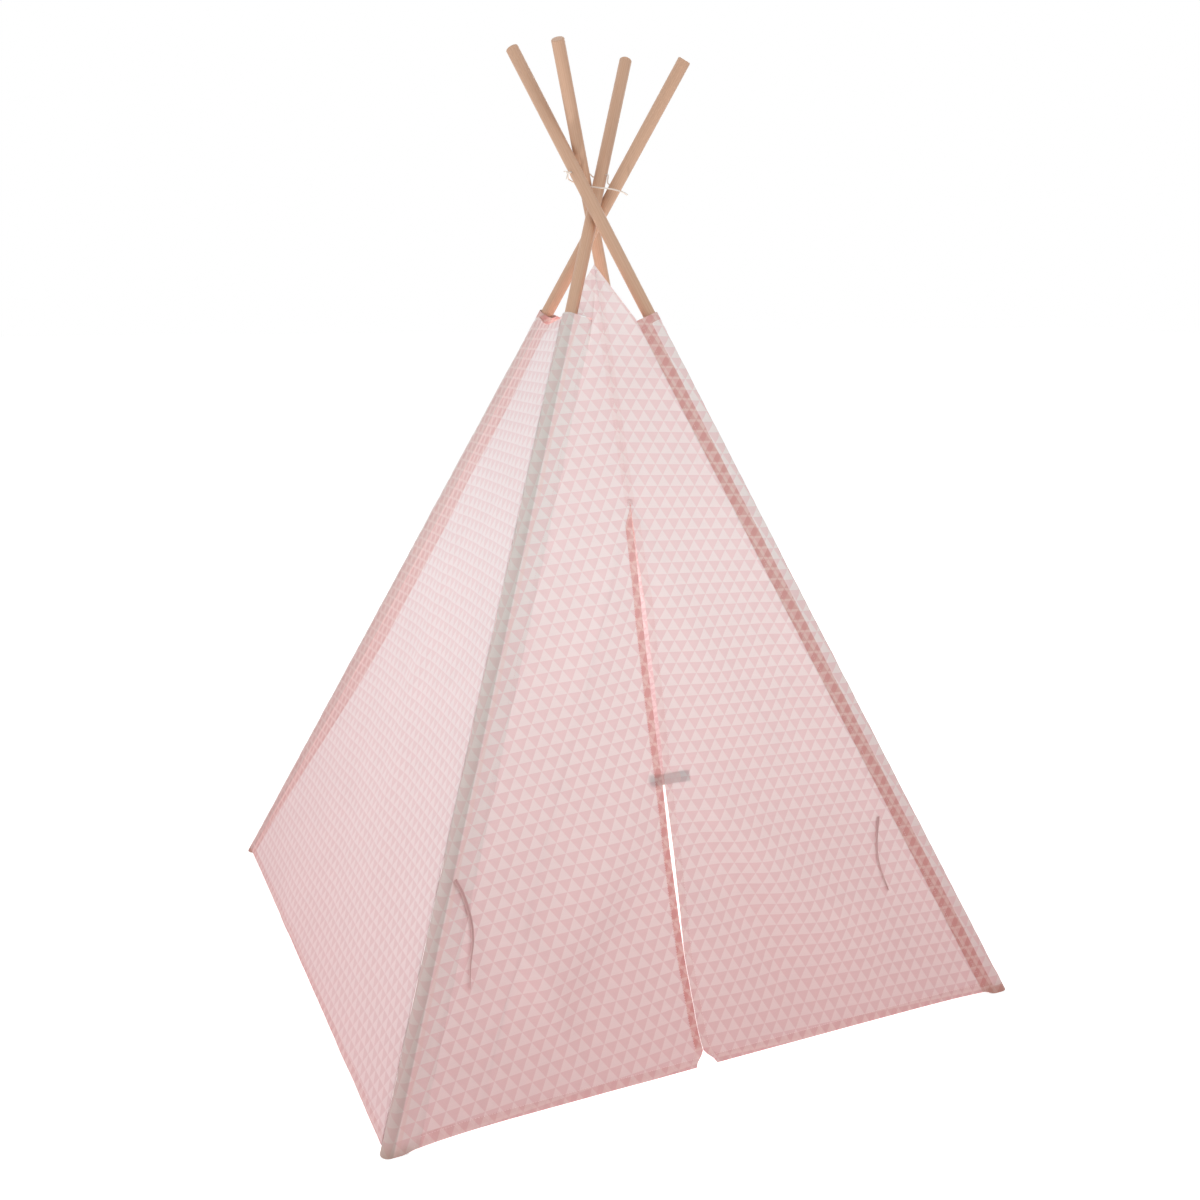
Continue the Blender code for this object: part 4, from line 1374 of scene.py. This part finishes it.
def lashRoute():
    first = throughHole("front_right")
    reach = lashing["knotRadius"] + lashing["knotGap"]
    knot = first[0] + (first[0] - first[1]).normalized() * reach
    end = Vector(lashing["knotEnd"]).normalized()
    return knot, [
        *first,
        *throughHole("back_right"),
        nearCrossing(lashing["turn"]),
        *throughHole("front_left"),
        *throughHole("back_left"),
        *(nearCrossing(shares) for shares in lashing["return"]),
        knot + end * (reach + lashing["lead"]),
        knot + end * reach,
    ]


# Twisted cotton cord: three soft plies, undyed
cordCotton = {
    "pale": "#FBF3EA",
    "shade": "#DDCDBD",
    "fibre": 0.0002,
    "fibreStretch": (1.0, 0.12, 1.0),
    "shares": (0.75, 0.35),  # of the grooves and of the fibres
    "roughness": (0.15, 0.8),
    "relief": 0.0001,
}


def twistedCord():
    material, tree = newMaterial("cottonCordTwisted")
    plan = addNode(tree, "ShaderNodeUVMap", {"uv_map": "clothPlan"})
    fibre = stretchedNoise(tree, plan, 1 / cordCotton["fibre"], 2.0, cordCotton["fibreStretch"])
    grooveShare, fibreShare = cordCotton["shares"]
    groove = addNode(tree, "ShaderNodeAttribute", {"attribute_name": "groove"}).outputs["Fac"]
    # Painted shade in the grooves between the plies, with random tone from the fibres
    share = addNode(tree, "ShaderNodeMath", "MULTIPLY", fibre, fibreShare)
    parts = (groove, grooveShare, share)
    share = addNode(tree, "ShaderNodeMath", "MULTIPLY_ADD", *parts, use_clamp=True)
    tones = [colour(cordCotton[tone]) for tone in ("pale", "shade")]
    base = addNode(tree, "ShaderNodeMix", colourMix, share, *tones)
    height = addNode(tree, "ShaderNodeMath", "MULTIPLY", fibre, cordCotton["relief"])
    rough = addNode(tree, "ShaderNodeMath", "MULTIPLY_ADD", fibre, *cordCotton["roughness"])
    finishMaterial(tree, base, rough, height, {"Sheen Weight": 0.15})
    return material


cordMaterial = twistedCord()


def cordMesh(name, places, radius, sides, taper=0.0):
    # tube of three twisted plies along a route, closed at both ends
    points, plan, groove, faces = [], [], [], []
    side = None
    travelled = 0.0
    for index, here in enumerate(places):
        ahead = neighbours(places, index).normalized()
        if side is None:
            side = ahead.orthogonal().normalized()
        side = (side - ahead * side.dot(ahead)).normalized()
        other = ahead.cross(side)
        if index:
            travelled += (here - places[index - 1]).length
        wide = radius * (1 - taper * index / (len(places) - 1))
        for step in range(sides):
            turn = 2 * math.pi * step / sides
            ply = math.cos(3 * (turn - 2 * math.pi * travelled / lashing["twist"]))
            reach = wide * (1 - lashing["plyDepth"] * (1 - ply))
            points.append(here + side * (reach * math.cos(turn)) + other * (reach * math.sin(turn)))
            plan.append((turn * radius, travelled))
            groove.append(max(0.0, -ply))
    for index in range(len(places) - 1):
        for step in range(sides):
            after = (step + 1) % sides
            p, q = index * sides + step, index * sides + after
            faces.append((p, q, q + sides, p + sides))
    last = (len(places) - 1) * sides
    faces.append(tuple(reversed(range(sides))))
    faces.append(tuple(range(last, last + sides)))
    made = linkObject(name, meshFrom(name, points, faces, plan, {"groove": groove}, 60))
    made.data.materials.append(cordMaterial)
    return made


def addLashing():
    knotPlace, route = lashRoute()
    places = smoothRoute(route, lashing["step"])
    cord = cordMesh("lash_cord_twisted", places, lashing["diameter"] / 2, lashing["sides"])
    # Overhand knot: a small trefoil of the same cord, with two short ends
    turns = []
    for step in range(lashing["knotSteps"] + 1):
        t = 2 * math.pi * step / lashing["knotSteps"]
        across, up = math.sin(t) + 2 * math.sin(2 * t), math.cos(t) - 2 * math.cos(2 * t)
        bend = Vector((across, up, -math.sin(3 * t)))
        turns.append(knotPlace + bend * (lashing["knotRadius"] / lashing["knotShare"]))
    knot = cordMesh("lash_knot_tied", turns, lashing["knotCord"], lashing["knotSides"])
    ends = []
    for number, way in enumerate(lashing["ends"]):
        heading = Vector(way).normalized()
        tail = []
        for step in range(9):
            reach = lashing["endStart"] + lashing["endStep"] * step
            drop = Vector((0, 0, lashing["endDrop"] * step * step))
            tail.append(knotPlace + heading * reach - drop)
        shape = (lashing["endCord"], lashing["knotSides"], lashing["endTaper"])
        ends.append(cordMesh(f"lash_end_{number}", tail, *shape))
    for piece in (cord, knot, *ends):
        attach(piece, "lashing")
    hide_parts("lash_cord")
    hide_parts("lash_knot")


addLashing()
print("ties and lashing made")


def barPlaces(start, end, depth):
    slit = slitLine(closure["height"])
    middle = frontFace(slit, closure["height"])
    sideways = (frontFace(slit + closure["length"], closure["height"]) - middle).normalized()
    upward = (frontFace(slit, closure["height"] + closure["length"]) - middle).normalized()
    outward = sideways.cross(upward).normalized()
    upward = outward.cross(sideways)
    columns, rows = closure["columns"], closure["rows"]
    grid, plan, near = clothGrid(rows, columns, 1)
    for i in range(rows):
        for j in range(columns):
            along = start + (end - start) * j / (columns - 1)
            up = closure["width"] * (i / (rows - 1) - 0.5)
            here = depth(along)
            grid[i, j] = middle + sideways * along + upward * up - outward * here
            plan[i, j] = (along, up)
            near[i, j] = min(along - start, end - along, closure["width"] / 2 - abs(up))
    return grid, plan, near, outward


def addClosure():
    close = size["cloth"] + closure["gap"]
    under = close + closure["thickness"] + closure["gap"]
    gap = size["slitGapMost"] / 2

    def strapDepth(along):
        return under + (close - under) * smoothStep((along + gap) / (3 * gap))

    end = closure["length"] - closure["reach"]
    for name, label, start, end, depth in (
        ("closure_strap", "right", -closure["reach"], end, strapDepth),
        ("closure_patch", "left", -gap - closure["patch"], -gap, lambda along: close),
    ):
        grid, plan, near, outward = barPlaces(start, end, depth)
        marks = {"edge": near}
        thickness = closure["thickness"]
        piece = shell(name + "_tape", grid, plan, marks, thickness, outward, closureTape)
        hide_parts(name)
        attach(piece, label + "_flap")


addClosure()
print("closure made")

# Spun polyester thread, lockstitched: small pale ridges in a row
thread = {
    "pitch": 0.0040,
    "stitch": 0.0029,
    "width": 0.0007,
    "vary": (0.88, 1.08),
    "lift": 0.0001,
    "tone": "#EFC9CA",
    "light": "#F6DEDD",
    "roseTone": "#B98285",
    "roseLight": "#CE9C9C",
    "layScale": 900.0,
    "relief": 0.00005,
    "roughness": (0.2, 0.5),
}


def threadMaterial(name, tone, light):
    material, tree = newMaterial(name)
    place = addNode(tree, "ShaderNodeTexCoord").outputs["Object"]
    lay = stretchedNoise(tree, place, thread["layScale"], 2.0)
    base = addNode(tree, "ShaderNodeMix", colourMix, lay, colour(tone), colour(light))
    rough = addNode(tree, "ShaderNodeMath", "MULTIPLY_ADD", lay, *thread["roughness"])
    height = addNode(tree, "ShaderNodeMath", "MULTIPLY", lay, thread["relief"])
    finishMaterial(tree, base, rough, height, {"Specular IOR Level": 0.4})
    return material


def stitchTree():
    # beads of thread, spaced evenly along a path and turned to follow it
    tree = bpy.data.node_groups.new("stitchRow", "GeometryNodeTree")
    for name, way, kind in (
        ("Geometry", "INPUT", "Geometry"),
        ("Pitch", "INPUT", "Float"),
        ("Stitch Length", "INPUT", "Float"),
        ("Thread Width", "INPUT", "Float"),
        ("Seed", "INPUT", "Int"),
        ("Thread", "INPUT", "Material"),
        ("Geometry", "OUTPUT", "Geometry"),
    ):
        tree.interface.new_socket(name, in_out=way, socket_type="NodeSocket" + kind)

    def step(kind, inputs=None, settings=None):
        return addNode(tree, kind, settings, inputs or {}).outputs

    given = step("NodeGroupInput")
    curve = step("GeometryNodeMeshToCurve", {0: given["Geometry"]})[0]
    inputs = {"Curve": curve, "Length": given["Pitch"]}
    even = step("GeometryNodeResampleCurve", inputs, {"mode": "LENGTH"})[0]
    bead = step("GeometryNodeMeshUVSphere", {"Segments": 6, "Rings": 4, "Radius": 0.5})[0]
    width = given["Thread Width"]
    shape = step("ShaderNodeCombineXYZ", {0: given["Stitch Length"], 1: width, 2: width})[0]
    drawn = step("GeometryNodeTransform", {"Geometry": bead, "Scale": shape})[0]
    tangent = step("GeometryNodeInputTangent")[0]
    turn = step("FunctionNodeAlignRotationToVector", {"Vector": tangent}, {"axis": "X"})[0]
    least, most = thread["vary"]
    inputs = {2: least, 3: most, "Seed": given["Seed"]}
    vary = step("FunctionNodeRandomValue", inputs, {"data_type": "FLOAT"})[1]
    inputs = {"Points": even, "Instance": drawn, "Rotation": turn, "Scale": vary}
    rows = step("GeometryNodeInstanceOnPoints", inputs)[0]
    real = step("GeometryNodeRealizeInstances", {0: rows})[0]
    done = step("GeometryNodeSetMaterial", {"Geometry": real, "Material": given["Thread"]})[0]
    step("NodeGroupOutput", {0: done})
    return tree


paleThread = threadMaterial("polyesterThreadLockstitched", thread["tone"], thread["light"])
roseThread = threadMaterial("polyesterThreadBartacked", thread["roseTone"], thread["roseLight"])
stitchGroup = stitchTree()


def addStitches(name, runs, seed, stuff=paleThread, pitch=thread["pitch"]):
    points, edges = [], []
    for run in runs:
        start = len(points)
        points.extend(tuple(place) for place in run)
        edges.extend((start + index, start + index + 1) for index in range(len(run) - 1))
    mesh = bpy.data.meshes.new(name + "Path")
    mesh.from_pydata(points, edges, [])
    path = linkObject(name + "Path", mesh)
    modifier = path.modifiers.new("stitchRow", "NODES")
    modifier.node_group = stitchGroup
    values = {
        "Pitch": pitch,
        "Stitch Length": thread["stitch"],
        "Thread Width": thread["width"],
        "Seed": seed,
        "Thread": stuff,
    }
    for item in stitchGroup.interface.items_tree:
        if item.in_out == "INPUT" and item.name in values:
            modifier[item.identifier] = values[item.name]
    graph = bpy.context.evaluated_depsgraph_get()
    plain = bpy.data.meshes.new_from_object(path.evaluated_get(graph))
    plain.shade_smooth()
    bpy.data.objects.remove(path)
    made = linkObject(name, plain)
    if not plain.materials:
        plain.materials.append(stuff)
    return made


# Where the rows of stitches run: as shares, or in metres from an edge
rowsAt = {
    "hem": 0.93,
    "wallEnds": (0.002, 0.998, 110),
    "wallRise": (0.004, 0.996, 120),
    "panelEnds": (0.004, 0.996, 60),
    "seamRise": (0.703, 0.996, 50),
    "seam": 0.0045,
    "gusset": 0.012,
    "gussetSteps": 20,
    "flapEnds": (0.004, 0.989, 60),
    "facingRise": (0.03, 0.985, 100),
    "facing": 0.93,
    "facingLeast": 1.3,
    "sleeve": 0.8,
    "sleeveStart": 0.004,
    "sleeveSteps": 120,
}


def spaced(kind):
    start, end, count = rowsAt[kind]
    return [start + (end - start) * step / count for step in range(count + 1)]


def stitchedAt(top):
    return size["hemHeight"] / (size[top] - size["hem"]) * rowsAt["hem"]


def outOf(place, out):
    return place + Vector(out) * thread["lift"]


def wallRuns(name):
    out = wallSleeves[name][3]
    stitched = stitchedAt("wallTop")

    def run(places):
        return [outOf(wallPlace(name, share, rise), out) for share, rise in places]

    runs = [run((share, line) for share in spaced("wallEnds")) for line in (stitched, 1 - stitched)]
    rises = spaced("wallRise")
    if name not in walls["backAt"]:
        ends = rowsAt["wallRise"][:2]
        return runs + [run((share, rise) for rise in rises) for share in ends]
    shares = []
    for rise in rises:
        first, last = (wallPlace(name, share, rise) for share in (0.0, 1.0))
        shares.append(abs(walls["backAt"][name] - bandWidth(first.z) / (last - first).length))
    return [*runs, run(zip(shares, rises))]


def panelRuns(side):
    stitched = stitchedAt("wallTop")

    def run(places):
        return [outOf(panelPlace(side, share, rise), front["out"]) for share, rise in places]

    seam = []
    for rise in spaced("seamRise"):
        whole = panelPlace(side, 1.0, rise) - panelPlace(side, 0.0, rise)
        seam.append((1 - rowsAt["seam"] / whole.length, rise))
    shares = spaced("panelEnds")
    runs = [run((share, stitched) for share in shares), run(seam)]
    if side > 0:
        return [*runs, run((share, 1 - stitched) for share in shares)]
    top = []
    for step in range(rowsAt["gussetSteps"] + 1):
        across = step / rowsAt["gussetSteps"]
        length = gussetPlace(across, 0.0)[1]
        top.append(outOf(gussetPlace(across, 1 - rowsAt["gusset"] / length)[0], front["out"]))
    return [*runs, top]


def flapRuns(side):
    def run(places):
        return [outOf(flapPlace(side, share, rise), front["out"]) for share, rise in places]

    facing = []
    for rise in spaced("facingRise"):
        height = size["hem"] + rise * (size["slitTop"] - size["hem"])
        width = abs(foldLine(side, height) - slitEdge(side, height))
        if width > front["facing"] * rowsAt["facingLeast"]:
            facing.append((1 - front["facing"] * rowsAt["facing"] / width, rise))
    stitched = stitchedAt("slitTop")
    return [run((share, stitched) for share in spaced("flapEnds")), run(facing)]


def sleeveRuns(name):
    inward, outward = pocketFrame(name)
    high = size["sleeveTop"] / axis[name].z
    seamAt = size["pocketReach"] - size["pocketSeam"] * rowsAt["sleeve"]
    side = inward * seamAt + outward * (size["sleeveRadius"] + thread["lift"])
    low = (rowsAt["sleeveStart"] - side.z) / axis[name].z
    count = rowsAt["sleeveSteps"]
    reaches = [low + (high - low) * step / count for step in range(count + 1)]
    seam = [foot[name] + side + axis[name] * reach for reach in reaches]
    mouth = foot[name] + axis[name] * (high - sleeve["mouthHem"])
    return [seam, [mouth + inward * along + outward * out for along, out, _, _ in sleeveRing()]]


def gather(piece, body):
    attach(piece, body)
    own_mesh(piece)


wallBodies = {"left_wall": "left_cloth", "right_wall": "right_cloth", "back_wall": "back_cloth"}
for seed, (name, piece) in enumerate(wallCloths.items()):
    body = wallBodies[name]
    gather(piece, body)
    stitches = addStitches(name + "_stitching", wallRuns(name), seed)
    gather(stitches, body)

# Each front piece and its stitching ride on their bodies: panel, then flap
for side, label in ((-1, "left"), (1, "right")):
    gather(panels[side], "front_cloth")
    stitches = addStitches(f"front_{label}_panel_stitching", panelRuns(side), 5 + side)
    gather(stitches, "front_cloth")
    gather(flaps[side], f"{label}_flap")
    stitches = addStitches(f"{label}_door_flap_stitching", flapRuns(side), 9 + side)
    gather(stitches, f"{label}_flap")

# Bartack: close zigzag stitches that hold the seam's end above the slit
bar = {"rows": 5, "start": 0.001, "step": 0.0022, "half": 0.004, "pitch": 0.0020, "out": (0, -3, 0)}
tack = []
for row in range(bar["rows"]):
    height = size["slitTop"] + bar["start"] + bar["step"] * row
    run = []
    for x in (-bar["half"], 0.0, bar["half"]):
        place = raised(frontFace(seamLine(height) + x, height), 1 if x > 0 else -1)
        run.append(outOf(place, bar["out"]))
    tack.append(run)
bartack = addStitches("slit_bartack", tack, 40, roseThread, bar["pitch"])
gather(bartack, "front_cloth")

# Each sleeve and its stitching ride on its pole
for seed, (name, piece) in enumerate(sleeves.items()):
    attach(piece, name + "_pole")
    stitches = addStitches(name + "_sleeve_stitching", sleeveRuns(name), 20 + seed)
    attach(stitches, name + "_pole")
print("stitching made, pieces ride on their bodies")

studio = {
    "floor": "#F1F1F1",
    "floorHalf": 30.0,
    "floorDrop": 0.0004,
    "aim": (0, 0, 0.55),
    "worldFront": 0.42,
    "worldBack": 0.84,
    "floorGlow": 0.55,
    "key": {"kind": "AREA", "place": (-3.2, -0.3, 1.3), "reach": 2.6, "power": 24},
    "fill": {"kind": "AREA", "place": (0.5, -2.5, 2.5), "reach": 1.8, "power": 20},
    "back": {"kind": "AREA", "place": (1.6, 2.8, 1.9), "reach": 2.6, "power": 36},
    "inner": {"kind": "POINT", "place": (0.02, 0.02, 0.48), "reach": 0.03, "power": 19},
}


def addFloor():
    half, drop = studio["floorHalf"], studio["floorDrop"]
    ends = [(x * half, y * half, -drop) for x, y in ((-1, -1), (1, -1), (1, 1), (-1, 1))]
    mesh = bpy.data.meshes.new("studioFloor")
    mesh.from_pydata(ends, [], [(0, 1, 2, 3)])
    floor = linkObject("studioFloor", mesh)
    material, tree = newMaterial("paintedFloor")
    diffuse = addNode(tree, "ShaderNodeBsdfDiffuse", None, {"Color": colour(studio["floor"])})
    seen = addNode(tree, "ShaderNodeLightPath").outputs["Is Camera Ray"]
    strength = addNode(tree, "ShaderNodeMath", "MULTIPLY", seen, studio["floorGlow"])
    inputs = {"Color": (1, 1, 1, 1), "Strength": strength}
    glow = addNode(tree, "ShaderNodeEmission", None, inputs)
    both = addNode(tree, "ShaderNodeAddShader", None, {0: diffuse.outputs[0], 1: glow.outputs[0]})
    addNode(tree, "ShaderNodeOutputMaterial", None, {"Surface": both.outputs[0]})
    mesh.materials.append(material)


def addLight(name):
    part = studio[name]
    data = bpy.data.lights.new(name + "Light", part["kind"])
    if part["kind"] == "AREA":
        data.shape = "SQUARE"
        data.size = part["reach"]
    else:
        data.shadow_soft_size = part["reach"]
    data.energy = part["power"]
    if part["kind"] == "POINT":
        # as strong far away as near, so that it leaves no bright spot on the cloth round it
        data.use_nodes = True
        falloff = addNode(data.node_tree, "ShaderNodeLightFalloff", None, {"Strength": 1.0})
        emission = data.node_tree.nodes["Emission"]
        data.node_tree.links.new(falloff.outputs["Constant"], emission.inputs["Strength"])
    made = bpy.data.objects.new(name + "Light", data)
    bpy.context.scene.collection.objects.link(made)
    made.visible_camera = False
    made.location = part["place"]
    aim = Vector(studio["aim"]) - Vector(part["place"])
    made.rotation_euler = aim.to_track_quat("-Z", "Y").to_euler()


def addWorld():
    world = bpy.data.worlds.new("studioWorld")
    bpy.context.scene.world = world
    world.use_nodes = True
    tree = world.node_tree
    tree.nodes.clear()
    seen = addNode(tree, "ShaderNodeLightPath").outputs
    direct, glossy = seen["Is Camera Ray"], seen["Is Glossy Ray"]
    direct = addNode(tree, "ShaderNodeMath", "MAXIMUM", direct, glossy)
    direct = addNode(tree, "ShaderNodeMath", "MAXIMUM", direct, seen["Is Transmission Ray"])
    # the room behind the tent is brighter than the room in front of it
    heading = addNode(tree, "ShaderNodeTexCoord").outputs["Generated"]
    ahead = addNode(tree, "ShaderNodeSeparateXYZ", None, {0: heading}).outputs[1]
    half = (studio["worldBack"] - studio["worldFront"]) / 2
    room = addNode(tree, "ShaderNodeMath", "MULTIPLY_ADD", ahead, half, studio["worldFront"] + half)
    strength = addNode(tree, "ShaderNodeMath", "MAXIMUM", direct, room)
    sky = addNode(tree, "ShaderNodeBackground", None, {"Color": (1, 1, 1, 1), "Strength": strength})
    addNode(tree, "ShaderNodeOutputWorld", None, {"Surface": sky.outputs[0]})


addFloor()
addWorld()
for lightName in ("key", "fill", "back", "inner"):
    addLight(lightName)
bpy.context.scene.view_settings.view_transform = "Standard"
print("floor and light made")
